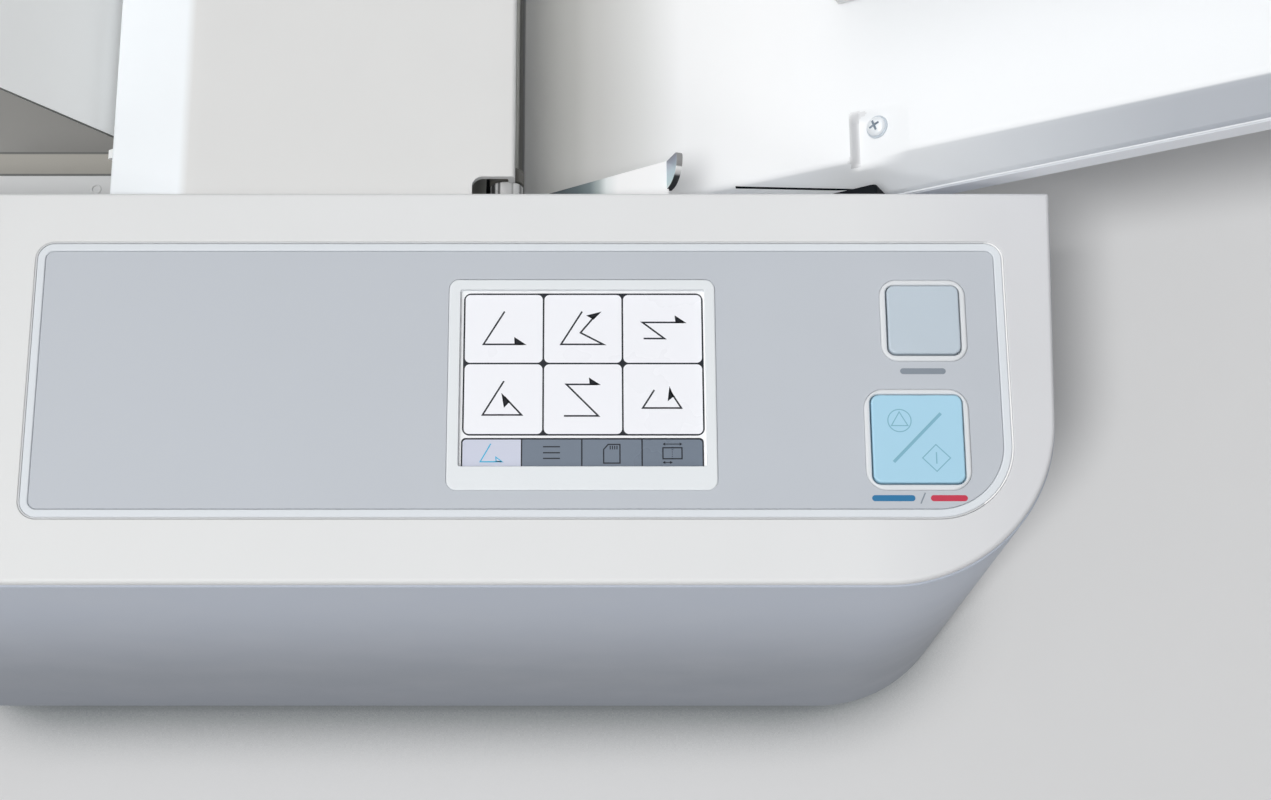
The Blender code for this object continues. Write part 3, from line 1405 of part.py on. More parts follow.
def feed_lever():
    web_low = LEVER_WEB_Y - LEVER_T / 2
    web_high = LEVER_WEB_Y + LEVER_T / 2
    hub_r = LEVER_PIN_R + LEVER_HUB
    slant = hub_r * 0.7
    under = LEVER_TOP_Z - LEVER_T
    outline = (
        (LEVER_X, LEVER_Z - hub_r),
        (LEVER_X + hub_r, LEVER_Z - slant),
        (LEVER_RIGHT_X, under - LEVER_WEB_DROP),
        (LEVER_RIGHT_X, LEVER_TOP_Z),
        (LEVER_LEFT_X, LEVER_TOP_Z),
        (LEVER_X, LEVER_Z + hub_r),
        (LEVER_X - slant, LEVER_Z + slant),
        (LEVER_X - hub_r, LEVER_Z),
        (LEVER_X - slant, LEVER_Z - slant),
    )
    lever = prism("feed_lever", outline, "y", web_low, web_high, paint("zinc", (0.62, 0.64, 0.66), 0.3, 1.0))
    flange_outline = (
        (LEVER_LEFT_X, web_low),
        (LEVER_RIGHT_X, web_low),
        (LEVER_RIGHT_X, LEVER_RIGHT_Y),
        (LEVER_LEFT_X, LEVER_LEFT_Y),
    )
    flange = prism("lever_flange", flange_outline, "z", under, LEVER_TOP_Z)
    tab_rear = LEVER_RIGHT_Y - GAP
    tab_outline = rounded([
        (-LEVER_TAB_LAP, LEVER_RIGHT_Y - LEVER_TAB_WIDTH, 0.0),
        (LEVER_TAB_LENGTH, LEVER_RIGHT_Y - LEVER_TAB_WIDTH, LEVER_TAB_FRONT_R),
        (LEVER_TAB_LENGTH, tab_rear, LEVER_TAB_REAR_R),
        (-LEVER_TAB_LAP, tab_rear, 0.0),
    ])
    tab = prism("lever_tab", tab_outline, "z", -LEVER_T, 0.0)
    tab.location = (LEVER_RIGHT_X - LEVER_TAB_LAP, 0.0, LEVER_TOP_Z - GAP)
    tab.rotation_euler = (0.0, math.radians(-LEVER_TAB_TILT), 0.0)
    bore = rod("lever_bore", "y", (LEVER_X, LEVER_Z), LEVER_PIN_R + GAP, web_low - PAST, web_high + PAST)
    join(lever, flange, tab)
    cut(lever, bore)
    place_origin(lever, (LEVER_X, LEVER_WEB_Y, LEVER_Z))


def side_guides():
    tilt = math.degrees(math.atan(TRAY_SLOPE))
    point = tilted((GUIDE_LEFT_X, rise_z(GUIDE_LEFT_X)), tilt)
    for name, side in (("side_guide_front", -1), ("side_guide_rear", 1)):
        fence_y = SPACE_MIDDLE_Y + side * GUIDE_HALF_GAP
        ends = sorted((fence_y, fence_y + side * GUIDE_T))
        outline = rounded([
            (*point(0.0, SLIDE_GAP), 0.0),
            (*point(GUIDE_LENGTH, SLIDE_GAP), 0.0),
            (*point(GUIDE_LENGTH, GUIDE_HEIGHT), GUIDE_CORNER_R),
            (*point(0.0, GUIDE_HEIGHT), GUIDE_CORNER_R),
        ])
        guide = prism(name, outline, "y", ends[0], ends[1], white())
        foot_ends = sorted((fence_y + side * GUIDE_T / 2, fence_y - side * GUIDE_FOOT))
        foot_outline = band(point, GUIDE_FOOT_SHY, GUIDE_LENGTH - GUIDE_FOOT_SHY,
                            SLIDE_GAP, SLIDE_GAP + GUIDE_FOOT_T)
        foot = prism(f"{name}_foot", foot_outline, "y", foot_ends[0], foot_ends[1])
        join(guide, foot)
        middle = point(GUIDE_LENGTH / 2, SLIDE_GAP)
        place_origin(guide, (middle[0], fence_y, middle[1]))


# Fold plates
def fold_lines():
    """Name, line function, length, stop place and bracket start of each fold plate."""
    return (
        ("fold_plate_1", tilted((FOLD_1_X, FOLD_1_Z), FOLD_1_TILT), FOLD_1_LENGTH, FOLD_1_STOP, FOLD_1_BRACKET),
        ("fold_plate_2", tilted((FOLD_2_X, FOLD_2_Z), FOLD_2_TILT), FOLD_2_LENGTH, FOLD_2_STOP, FOLD_2_BRACKET),
    )


def fold_plates():
    """Each fold plate: a flat sheet and a narrower one, held by an arm on each side with a foot to the frame."""
    near = FOLD_GAP / 2
    far = near + FOLD_SHEET_T
    arm_near = FOLD_HALF_WIDTH - BRACKET_LAP
    frame = SPACE_REAR_Y - SPACE_MIDDLE_Y - GAP
    for name, point, length, _, start in fold_lines():
        sheet = prism(name, band(point, 0.0, length, -far, -near), "y", SPACE_MIDDLE_Y - FOLD_HALF_WIDTH,
                      SPACE_MIDDLE_Y + FOLD_HALF_WIDTH, sheet_paint())
        shy = FOLD_HALF_WIDTH - FOLD_UNDER_SHY
        under = prism(f"{name}_under", band(point, 0.0, length, near, far), "y", SPACE_MIDDLE_Y - shy,
                      SPACE_MIDDLE_Y + shy)
        arms = []
        for side in (-1, 1):
            ends = sorted((SPACE_MIDDLE_Y + side * (shy - BRACKET_LAP), SPACE_MIDDLE_Y + side * FOLD_HALF_WIDTH))
            outline = band(point, start + FOLD_EAR_THIN, start + BRACKET_LENGTH - FOLD_EAR_THIN,
                           near + FOLD_EAR_THIN, far - FOLD_EAR_THIN)
            arms.append(prism(f"{name}_ear_{side}", outline, "y", ends[0], ends[1]))
            ends = sorted((SPACE_MIDDLE_Y + side * arm_near, SPACE_MIDDLE_Y + side * (arm_near + BRACKET_T)))
            outline = band(point, start, start + BRACKET_LENGTH, -BRACKET_HALF, BRACKET_HALF)
            arms.append(prism(f"{name}_arm_{side}", outline, "y", ends[0], ends[1], steel()))
            ends = sorted((SPACE_MIDDLE_Y + side * (arm_near + BRACKET_T / 2), SPACE_MIDDLE_Y + side * frame))
            middle = start + BRACKET_FOOT * 1.5
            foot_outline = band(point, middle - BRACKET_FOOT / 2, middle + BRACKET_FOOT / 2,
                                -BRACKET_FOOT / 2, BRACKET_FOOT / 2)
            arms.append(prism(f"{name}_foot_{side}", foot_outline, "y", ends[0], ends[1]))
        slots = []
        for number in range(FOLD_SLOTS):
            middle = SPACE_MIDDLE_Y + (number - (FOLD_SLOTS - 1) / 2) * FOLD_SLOT_PITCH
            outline = band(point, FOLD_SLOT_START, length - FOLD_SLOT_END, -2 * far, 2 * far)
            slots.append(prism(f"{name}_slot_{number}", outline, "y",
                               middle - FOLD_SLOT_WIDTH / 2, middle + FOLD_SLOT_WIDTH / 2))
        join(sheet, under, *arms)
        cut(sheet, *slots)


def fold_stops():
    edge = FOLD_HALF_WIDTH + SLIDE_GAP
    for name, point, _, stop, _ in fold_lines():
        half = STOP_DEPTH / 2
        reach = edge + STOP_KNOB
        bar = prism(f"{name}_stop", band(point, stop - half, stop + half, -STOP_T / 2, STOP_T / 2), "y",
                    SPACE_MIDDLE_Y - reach, SPACE_MIDDLE_Y + reach, dark())
        knobs = []
        for side in (-1, 1):
            ends = sorted((SPACE_MIDDLE_Y + side * edge, SPACE_MIDDLE_Y + side * (reach + STOP_KNOB_LAP)))
            outline = band(point, stop - half - STOP_KNOB_PAST, stop + half + STOP_KNOB_PAST,
                           -STOP_KNOB / 2, STOP_KNOB / 2)
            knobs.append(prism(f"{name}_knob_{len(knobs)}", outline, "y", ends[0], ends[1]))
        join(bar, *knobs)
        middle = point(stop, 0.0)
        place_origin(bar, (middle[0], SPACE_MIDDLE_Y, middle[1]))


# Delivery
def conveyor_line():
    run = Vector((CONVEYOR_DRIVE_X - CONVEYOR_END_X, CONVEYOR_DRIVE_Z - CONVEYOR_END_Z))
    point = tilted((CONVEYOR_END_X, CONVEYOR_END_Z), math.degrees(math.atan2(run.y, run.x)))
    return point, run.length


def delivery_bed():
    point, length = conveyor_line()
    lean = point(1.0, 0.0)[0] - CONVEYOR_END_X

    def left_end(across):
        """How far along the line the rail's end stands at one height across it."""
        return (-HALF_LENGTH - point(0.0, across)[0]) / lean

    right = length + RAIL_PAST
    outline = (
        point(left_end(-RAIL_LOW), -RAIL_LOW),
        point(right, -RAIL_LOW),
        point(right, RAIL_HIGH),
        point(left_end(RAIL_HIGH), RAIL_HIGH),
    )
    front = FRAME_FRONT_IN_Y + GAP
    rear = FRAME_REAR_IN_Y - GAP
    rail = prism("delivery_bed", outline, "y", front, front + RAIL_T, sheet_paint())
    far_rail = prism("bed_far_rail", outline, "y", rear - RAIL_T, rear)
    top = CONVEYOR_ROLLER_R - BED_BELOW_BELT
    clear = CONVEYOR_ROLLER_R + 0.004
    plate = prism("bed_plate", band(point, clear, length - clear, top - BED_T, top), "y",
                  front + RAIL_T / 2, rear - RAIL_T / 2)
    drills = []
    for place in ((CONVEYOR_END_X, CONVEYOR_END_Z), (CONVEYOR_DRIVE_X, CONVEYOR_DRIVE_Z)):
        drills.append(rod(f"bed_drill_{len(drills)}", "y", place, CONVEYOR_SHAFT_R + GAP,
                          front - PAST, rear + PAST))
    join(rail, far_rail, plate)
    cut(rail, *drills)


def conveyor_rollers():
    front = FRAME_FRONT_IN_Y + GAP
    rear = FRAME_REAR_IN_Y - GAP
    body = RAIL_T + 2 * SLIDE_GAP
    base = [
        (front, CONVEYOR_SHAFT_R),
        (front + body, CONVEYOR_SHAFT_R),
        (front + body, CONVEYOR_ROLLER_R),
        (rear - body, CONVEYOR_ROLLER_R),
        (rear - body, CONVEYOR_SHAFT_R),
    ]
    idle = turned("conveyor_idle_roller", "y", (0.0, 0.0), base + [(rear, CONVEYOR_SHAFT_R)], rubber(), 24)
    idle.location = (CONVEYOR_END_X, 0.0, CONVEYOR_END_Z)
    driven = base + [
        (OUTER_LAYER_Y, CONVEYOR_SHAFT_R),
        (OUTER_LAYER_Y, SMALL_PULLEY_R),
        (OUTER_LAYER_Y + PULLEY_WIDTH, SMALL_PULLEY_R),
    ]
    roller = turned("conveyor_drive_roller", "y", (0.0, 0.0), driven, rubber(), 24)
    roller.location = (CONVEYOR_DRIVE_X, 0.0, CONVEYOR_DRIVE_Z)


def conveyor_belt():
    end = (CONVEYOR_END_X, CONVEYOR_END_Z)
    drive = (CONVEYOR_DRIVE_X, CONVEYOR_DRIVE_Z)
    belt("conveyor_belt", end, CONVEYOR_ROLLER_R, drive, CONVEYOR_ROLLER_R, CONVEYOR_BELT_T,
         SPACE_MIDDLE_Y - CONVEYOR_BELT_WIDTH / 2, SPACE_MIDDLE_Y + CONVEYOR_BELT_WIDTH / 2)


def stacker():
    point, _ = conveyor_line()
    belt_top = CONVEYOR_ROLLER_R + GAP + CONVEYOR_BELT_T
    shaft_up = belt_top + SLIDE_GAP + STACKER_WHEEL_R
    block_low = belt_top + STACKER_OVER_BELT
    block_high = RAIL_HIGH + STACKER_OVER_RAIL
    front = FRAME_FRONT_IN_Y + GAP
    rear = FRAME_REAR_IN_Y - GAP
    start = STACKER_AT - STACKER_WHEEL_R
    end = STACKER_AT + STACKER_WHEEL_R * 2
    blocks = []
    for edge, inward in ((front, 1), (rear, -1)):
        inner = edge + inward * (RAIL_T + SLIDE_GAP)
        tip = edge + inward * (RAIL_T + STACKER_BLOCK / 2)
        top_ends = sorted((edge, tip))
        low_ends = sorted((inner, tip - inward * STACKER_LAP))
        number = len(blocks)
        blocks.append(prism(f"stacker_top_{number}", band(point, start, end, RAIL_HIGH + SLIDE_GAP, block_high),
                            "y", top_ends[0], top_ends[1], white()))
        cheek = band(point, start + STACKER_LAP, end - STACKER_LAP, block_low, block_high - STACKER_LAP)
        blocks.append(prism(f"stacker_side_{number}", cheek, "y", low_ends[0], low_ends[1], white()))
    carriage = blocks[0]
    carriage.name = "stacker_carriage"
    bar_end = end - STACKER_LAP
    bar_low = shaft_up - STACKER_BAR / 3
    bar_in = RAIL_T + STACKER_BLOCK / 2 - 2 * STACKER_LAP
    bar = prism("stacker_bar", band(point, bar_end - STACKER_BAR, bar_end, bar_low, bar_low + STACKER_BAR), "y",
                front + bar_in, rear - bar_in)
    place = point(STACKER_AT, shaft_up)
    bore = rod("stacker_bore", "y", place, STACKER_SHAFT_R + GAP, front - PAST, rear + PAST)
    join(carriage, *blocks[1:], bar)
    cut(carriage, bore)
    place_origin(carriage, (place[0], SPACE_MIDDLE_Y, place[1]))
    shaft_low = front + RAIL_T + SLIDE_GAP
    shaft_high = rear - RAIL_T - SLIDE_GAP
    profile = [(shaft_low, STACKER_SHAFT_R)]
    for number in range(STACKER_WHEELS):
        middle = SPACE_MIDDLE_Y + (number - (STACKER_WHEELS - 1) / 2) * STACKER_WHEEL_PITCH
        low = middle - STACKER_WHEEL_WIDTH / 2
        high = middle + STACKER_WHEEL_WIDTH / 2
        profile += [(low, STACKER_SHAFT_R), (low, STACKER_WHEEL_R)]
        profile += [(high, STACKER_WHEEL_R), (high, STACKER_SHAFT_R)]
    profile.append((shaft_high, STACKER_SHAFT_R))
    wheels = turned("stacker_wheels", "y", (0.0, 0.0), profile, rubber(), 14)
    wheels.location = (place[0], 0.0, place[1])


def exit_side_covers():
    wall = EXIT_WALL
    sides = (
        ("exit_side_cover_front", FRAME_FRONT_IN_Y + GAP, 1),
        ("exit_side_cover_rear", FRAME_REAR_IN_Y - GAP, -1),
    )
    for name, face, inward in sides:
        step = face + inward * EXIT_STEP
        edge = face + inward * EXIT_WIDTH
        outline = (
            (face, EXIT_FOOT_Z),
            (face, EXIT_UPPER_Z),
            (step, EXIT_UPPER_Z),
            (step, EXIT_LOWER_Z),
            (edge, EXIT_LOWER_Z),
            (edge, EXIT_FOOT_Z),
            (edge - inward * wall, EXIT_FOOT_Z),
            (edge - inward * wall, EXIT_LOWER_Z - wall),
            (step - inward * wall, EXIT_LOWER_Z - wall),
            (step - inward * wall, EXIT_UPPER_Z - wall),
            (face + inward * wall, EXIT_UPPER_Z - wall),
            (face + inward * wall, EXIT_FOOT_Z),
        )
        prism(name, outline, "x", EXIT_LEFT_X, EXIT_RIGHT_X, white())


# Everything
def build():
    clear_scene()
    base_pan()
    rubber_feet()
    side_frame("operator_side_frame", FRAME_FRONT_IN_Y, -1)
    side_frame("drive_side_frame", FRAME_REAR_IN_Y, 1)
    operator_housing()
    control_cover()
    panel_plate()
    control_fascia()
    screen_bezel()
    touch_screen()
    button_ring("test_button_ring", TEST_X, TEST_Y, TEST_RING, TEST_CAP)
    button_ring("start_button_ring", START_X, START_Y, START_RING, START_CAP)
    button("test_button", TEST_X, TEST_Y, TEST_CAP, (0.52, 0.59, 0.66))
    button("start_stop_button", START_X, START_Y, START_CAP, (0.40, 0.66, 0.80))
    control_board()
    drive_housing()
    drive_cover()
    power_inlet()
    power_switch()
    fold_rollers()
    fold_gears()
    feed_roller()
    drive_motor()
    drive_belts()
    power_supply()
    roller_cover()
    hinge_pins()
    gate_plate()
    separator_pad()
    feed_tray()
    feed_tray_base()
    lift_plate()
    feed_lever()
    side_guides()
    fold_plates()
    fold_stops()
    delivery_bed()
    conveyor_rollers()
    conveyor_belt()
    stacker()
    exit_side_covers()


build()
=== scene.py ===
"""The looks of the paper folding machine: finer pieces, materials, floor, lights and camera."""

import json
import math

import bpy
from mathutils import Matrix, Vector
from mathutils.geometry import tessellate_polygon

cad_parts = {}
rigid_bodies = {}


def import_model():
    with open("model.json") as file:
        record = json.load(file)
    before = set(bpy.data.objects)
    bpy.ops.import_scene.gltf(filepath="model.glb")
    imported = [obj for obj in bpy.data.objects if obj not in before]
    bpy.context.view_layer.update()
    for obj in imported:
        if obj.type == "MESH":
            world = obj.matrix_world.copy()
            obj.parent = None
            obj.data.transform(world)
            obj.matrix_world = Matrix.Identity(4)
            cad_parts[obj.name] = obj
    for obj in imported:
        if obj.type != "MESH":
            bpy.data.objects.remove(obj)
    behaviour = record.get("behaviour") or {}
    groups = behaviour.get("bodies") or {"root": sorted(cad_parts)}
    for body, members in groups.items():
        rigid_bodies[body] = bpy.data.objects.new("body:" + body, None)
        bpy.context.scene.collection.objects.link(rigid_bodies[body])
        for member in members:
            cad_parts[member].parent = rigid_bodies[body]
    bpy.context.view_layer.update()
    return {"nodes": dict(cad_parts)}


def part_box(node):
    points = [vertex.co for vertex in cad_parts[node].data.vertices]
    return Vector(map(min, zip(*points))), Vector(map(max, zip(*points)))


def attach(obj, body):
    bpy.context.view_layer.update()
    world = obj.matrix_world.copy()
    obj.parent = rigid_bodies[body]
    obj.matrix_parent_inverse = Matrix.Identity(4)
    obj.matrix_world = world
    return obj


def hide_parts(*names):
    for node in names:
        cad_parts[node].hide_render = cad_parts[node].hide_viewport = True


for item in list(bpy.data.objects):
    bpy.data.objects.remove(item)
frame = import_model()
NODES = frame["nodes"]
MM = 0.001

# Axes that a shape may be built along: across, up, along
AXES = {
    "z": Matrix(((1, 0, 0), (0, 1, 0), (0, 0, 1))),
    "y": Matrix(((1, 0, 0), (0, 0, -1), (0, 1, 0))),
    "x": Matrix(((0, 0, 1), (1, 0, 0), (0, 1, 0))),
}


# Materials
NOISE_RANGE = (0.3, 0.7)
# Heights between which painted shade fades in toward the floor
PAINTED_SHADE_HEIGHT = (0.06, 0.21)
# Upward parts of the normal over which a steep side's painted shade gives way to the flat colour
PAINTED_SIDE_SHADE_NORMAL_Z = (0.52, 0.7)


def shade(value):
    """A screen value from 0 to 255 as a linear colour value."""
    value /= 255
    return value / 12.92 if value <= 0.04045 else ((value + 0.055) / 1.055) ** 2.4


def colour(tones):
    return tuple(shade(tone) for tone in tones) + (1.0,)


class Graph:
    """A material's nodes, each made with its inputs set or linked."""

    def __init__(self, made):
        self.tree = made.node_tree
        self.shader = self.tree.nodes["Principled BSDF"]

    def feed(self, socket, value):
        if isinstance(value, bpy.types.NodeSocket):
            self.tree.links.new(value, socket)
        else:
            socket.default_value = value

    def shade(self, **values):
        for name, value in values.items():
            self.feed(self.shader.inputs[name.replace("_", " ")], value)

    def add(self, kind, output=0, inputs=None, **settings):
        """A new node's output; its settings come first, as they decide which inputs it has."""
        node = self.tree.nodes.new("ShaderNode" + kind)
        for name, value in settings.items():
            setattr(node, name, value)
        for key, value in (inputs or {}).items():
            self.feed(node.inputs[key], value)
        return node.outputs[output]

    def span(self, value, from_low, from_high, to_low=0.0, to_high=1.0, way="LINEAR"):
        """A value carried from one range to another."""
        ends = {"Value": value, "From Min": from_low, "From Max": from_high,
                "To Min": to_low, "To Max": to_high}
        return self.add("MapRange", "Result", ends, interpolation_type=way)

    def ramp(self, value, stops):
        """The colour at a value, from (place, colour) stops."""
        node = self.tree.nodes.new("ShaderNodeValToRGB")
        points = node.color_ramp.elements
        for index, (at, tone) in enumerate(stops):
            point = points.new(at) if 0 < index < len(stops) - 1 else points[0 if index == 0 else -1]
            point.position = at
            point.color = tone
        self.feed(node.inputs["Fac"], value)
        return node.outputs["Color"]

    def along(self, axis, stops, start, end):
        """The colour at a place along an axis, from (millimetres, grey or colour) stops."""
        place = self.add("SeparateXYZ", axis, {"Vector": self.add("TexCoord", "Object")})
        tones = [tone if isinstance(tone, tuple) else (tone, tone, tone) for at, tone in stops]
        places = [(at - start) / (end - start) for at, tone in stops]
        return self.ramp(self.span(place, start * MM, end * MM), list(zip(places, map(colour, tones))))


def material(name, base, rough, metal=0.0, grain=1400.0, depth=0.02, cloud=0.03, stretch=(1, 1, 1),
             coat=0.0, rough_spread=0.06, painted_low_shade=1.0, pattern="noise", after=None):
    """A surface whose colour, roughness and relief vary a little; a low shade below 1 paints shade into its
    colour, darker toward the floor.

    The base is a screen colour of three values, a linear one of four, or a function that adds nodes
    for it. The function after, if given, adds nodes between the colour and the surface."""
    made = bpy.data.materials.new(name)
    made.use_nodes = True
    graph = Graph(made)
    graph.shade(Metallic=metal, Coat_Weight=coat, Coat_Roughness=0.12)
    place = graph.add("TexCoord", "Object")
    scaled = graph.add("Mapping", inputs={"Vector": place, "Scale": stretch})
    clouds = graph.add("TexNoise", "Fac", {"Vector": place, "Scale": 38.0, "Detail": 4.0})
    tone = graph.span(clouds, *NOISE_RANGE, 1.0 - cloud, 1.0 + cloud)
    if painted_low_shade < 1:
        height = graph.add("SeparateXYZ", "Z", {"Vector": place})
        painted_floor_shade = graph.span(height, *PAINTED_SHADE_HEIGHT, painted_low_shade, 1.0, "SMOOTHSTEP")
        tone = graph.add("Math", inputs={0: tone, 1: painted_floor_shade}, operation="MULTIPLY")
    paint = base(graph) if callable(base) else (base if len(base) == 4 else colour(base))[:3]
    tint = graph.add("VectorMath", inputs={0: paint, "Scale": tone}, operation="SCALE")
    graph.shade(Base_Color=after(graph, tint) if after else tint)
    kind, output = ("TexVoronoi", "Distance") if pattern == "voronoi" else ("TexNoise", "Fac")
    detail = {} if pattern == "voronoi" else {"Detail": 3.0}
    fine = graph.add(kind, output, {"Vector": scaled, "Scale": grain, **detail})
    bump = {"Strength": 0.6, "Distance": depth * MM, "Height": fine}
    ends = (max(rough - rough_spread, 0.02), min(rough + rough_spread, 1.0))
    graph.shade(Roughness=graph.span(clouds, *NOISE_RANGE, *ends), Normal=graph.add("Bump", inputs=bump))
    return made


def graded(name, axis, stops, rough, metal=0.0, **more):
    """A surface whose colour changes along one axis; here the stops paint light and shade into it."""
    ends = (stops[0][0], stops[-1][0])
    return material(name, lambda graph: graph.along(axis, stops, *ends), rough, metal, **more)


def graded_with_painted_side_shade(name, stops, painted_side_stops, rough):
    """A shell with painted light and shade graded along its length; its steep sides take a second, darker
    grading of painted shade.
    """
    def paint(graph):
        start, end = stops[0][0], stops[-1][0]
        way = graph.add("SeparateXYZ", "Z", {"Vector": graph.add("NewGeometry", "Normal")})
        tones = {6: graph.along(0, painted_side_stops, start, end), 7: graph.along(0, stops, start, end)}
        return graph.add("Mix", 2, {"Factor": graph.span(way, *PAINTED_SIDE_SHADE_NORMAL_Z), **tones}, data_type="RGBA")

    return material(name, paint, rough, depth=0.025, cloud=0.006)


WHITE = material("white_shell", (226, 227, 227), 0.5, depth=0.03, cloud=0.008)
# Painted light: the roller cover's sloped left strip is coloured lighter than its top.
COVER_PAINTED_LIGHT = graded("cover_shell_painted_light", 0, (
    (-130, (242, 246, 249)), (-96.4, (242, 246, 249)), (-93.4, (221, 221, 220)), (10, (221, 221, 220))),
    0.52, depth=0.03, cloud=0.008)
# Painted shade: the grey housings' colour darkens toward the floor.
GREY = material("grey_shell", (189, 196, 209), 0.5, depth=0.035, cloud=0.012, painted_low_shade=0.54)
# Painted shade: near-black slabs stand in for the shade inside the vent slots.
VENT_PAINTED_SHADE = material("vent_slot_painted_shade", (22, 23, 25), 0.8, cloud=0.05)
PALE_GREY = material("pale_grey_shell", (232, 235, 241), 0.5, depth=0.035, cloud=0.012)
PANEL = material("panel_shell", (220, 225, 230), 0.42, cloud=0.006)
# Painted light and shade: the tray's colour follows the cover's shadow and the bend along its length, and its
# steep sides are painted darker.
TRAY_PAINTED_LIGHT = graded_with_painted_side_shade("tray_shell_painted_light", (
    (6, 250), (11.5, (240, 240, 238)), (14.8, (230, 230, 227)), (18, (222, 222, 219)), (23, (208, 208, 205)),
    (31, (210, 210, 208)), (44, (226, 227, 226)), (57, (247, 248, 249)), (80, (248, 249, 250)),
    (120, (242, 244, 246)), (335, (237, 240, 243))), (
    (60, (236, 239, 241)), (125, (226, 229, 232)), (150, (206, 210, 215)), (195, (179, 184, 192)),
    (335, (171, 176, 185))), 0.46)
LIP = material("tray_lip", (222, 225, 229), 0.46, cloud=0.006)
DARK = material("dark_shell", (44, 46, 50), 0.55, depth=0.05, cloud=0.05)
FASCIA = material("fascia_film", (191, 196, 203), 0.42, grain=2600, depth=0.012, cloud=0.006)
GLASS = material("screen_glass", (248, 249, 251), 0.3, grain=300, depth=0.002, cloud=0.003)
CELL = material("screen_cell", (243, 244, 249), 0.3, grain=300, depth=0.001, cloud=0.003)
LINE = material("screen_line", (16, 21, 32), 0.35, grain=300, depth=0.001, cloud=0.02)
TAB_ON = material("screen_tab_on", (204, 208, 224), 0.3, grain=300, depth=0.001, cloud=0.004)
TAB_OFF = material("screen_tab_off", (114, 125, 139), 0.3, grain=300, depth=0.001, cloud=0.004)
CYAN = material("screen_cyan", (60, 176, 216), 0.3, grain=300, depth=0.001, cloud=0.004)
# Painted shade: the pod top's colour darkens toward its right end.
POD_PAINTED_SHADE = graded("pod_shell_painted_shade", 0, ((-150, (226, 227, 227)), (105, (225, 226, 227)), (150, (212, 213, 216)),
                              (165, (212, 213, 216))), 0.5, depth=0.03, cloud=0.006)
# Painted highlight and painted shade for the thin ring in the gap round the panel
EDGE_PAINTED_HIGHLIGHT = material("panel_edge_painted_highlight", (252, 252, 252), 0.4, depth=0.01, cloud=0.004)
EDGE_PAINTED_SHADE = material("panel_edge_painted_shade", (206, 208, 210), 0.4, depth=0.01, cloud=0.004)
# Painted shade for the left walls of the tray's screw pockets, in three steps
TRAY_PAINTED_SHADES = [material(f"tray_shade_{tone}", (tone, tone + 1, tone + 3), 0.46, depth=0.025, cloud=0.006)
               for tone in (228, 216, 206)]
RING = material("key_ring", (220, 223, 226), 0.42, cloud=0.006)
TEST_CAP = material("test_cap", (190, 202, 212), 0.4, cloud=0.008)
START_CAP = material("start_cap", (170, 212, 233), 0.36, cloud=0.008)
CAP_MARK = material("cap_mark", (128, 178, 198), 0.4, depth=0.01, cloud=0.01)
INK_GREY = material("ink_grey", (132, 141, 151), 0.5, depth=0.01)
INK_BLUE = material("ink_blue", (38, 116, 163), 0.5, depth=0.01)
INK_RED = material("ink_red", (196, 52, 78), 0.5, depth=0.01)
STEEL = material("steel_plate", (0.42, 0.43, 0.44, 1), 0.42, 0.9, grain=260, stretch=(1, 1, 14), cloud=0.05)
ZINC = material("zinc_steel", (0.66, 0.68, 0.7, 1), 0.3, 1.0, grain=420, depth=0.03, cloud=0.09,
                rough_spread=0.1, pattern="voronoi")
SHEET = material("sheet_metal", (222, 224, 224), 0.45, grain=900, depth=0.04, cloud=0.02)
# Painted shade: the white fold sheet is coloured dark near its foot.
FOLD_SHEET_PAINTED_LIGHT = graded("fold_sheet_painted_light", 2, (
    (150, 104), (166, 118), (171, (250, 252, 252)), (410, (252, 254, 254))), 0.4, grain=900, depth=0.03,
    cloud=0.01)
# Painted light: a weak emission makes the fold sheet glow brighter than its lighting.
Graph(FOLD_SHEET_PAINTED_LIGHT).shade(Emission_Color=(1.0, 1.0, 1.0, 1.0), Emission_Strength=0.05)
BEZEL = material("bezel_shell", (228, 232, 235), 0.45, cloud=0.006)
# Painted shade: the exit side covers are coloured darker below their upper ledge.
EXIT_PAINTED_SHADE = graded("exit_shell_painted_shade", 2, ((120, (164, 161, 154)), (163, (166, 163, 156)), (167, (211, 212, 212)),
                                (200, (211, 212, 212))), 0.52, depth=0.03, cloud=0.008)
DARK_SHEET = material("dark_sheet", (170, 170, 165), 0.5, grain=900, depth=0.04, cloud=0.04)
MOTOR = material("motor_can", (92, 95, 99), 0.4, 0.7, grain=600, stretch=(1, 14, 1), cloud=0.06)
RUBBER = material("rubber", (38, 38, 40), 0.82, grain=1100, depth=0.09, cloud=0.12)
BELT = material("belt_rubber", (52, 54, 56), 0.75, grain=700, depth=0.06, stretch=(1, 5, 1), cloud=0.1)
FABRIC = material("conveyor_fabric", (144, 143, 140), 0.75, grain=900, depth=0.06, stretch=(1, 4, 1))
# Painted shade: dark strips where shadow lines fall at steps and edges
SEAM_PAINTED_SHADE = material("painted_shade_seam", (108, 109, 107), 0.7, cloud=0.04)
# The black clip's own colour, also used as painted shade for the tray's slot strips
CLIP_AND_SLOT_SHADE = material("black_clip_and_slot_shade", (16, 21, 26), 0.6, depth=0.03, cloud=0.1)
Graph(CLIP_AND_SLOT_SHADE).shade(Specular_IOR_Level=0.12)
HINGE_GREY = material("hinge_grey", (196, 195, 190), 0.6, depth=0.03)
# Painted shade for the white cover's hinge lugs and necks inside the notch
HINGE_PAINTED_SHADE = material("hinge_painted_shade", (112, 110, 104), 0.6, depth=0.03)
SCREW = material("bright_zinc", (236, 240, 244), 0.3, 0.15, grain=900, depth=0.015, cloud=0.04)
WASHER = material("washer_zinc", (196, 204, 212), 0.35, 0.2, grain=900, depth=0.015, cloud=0.04)
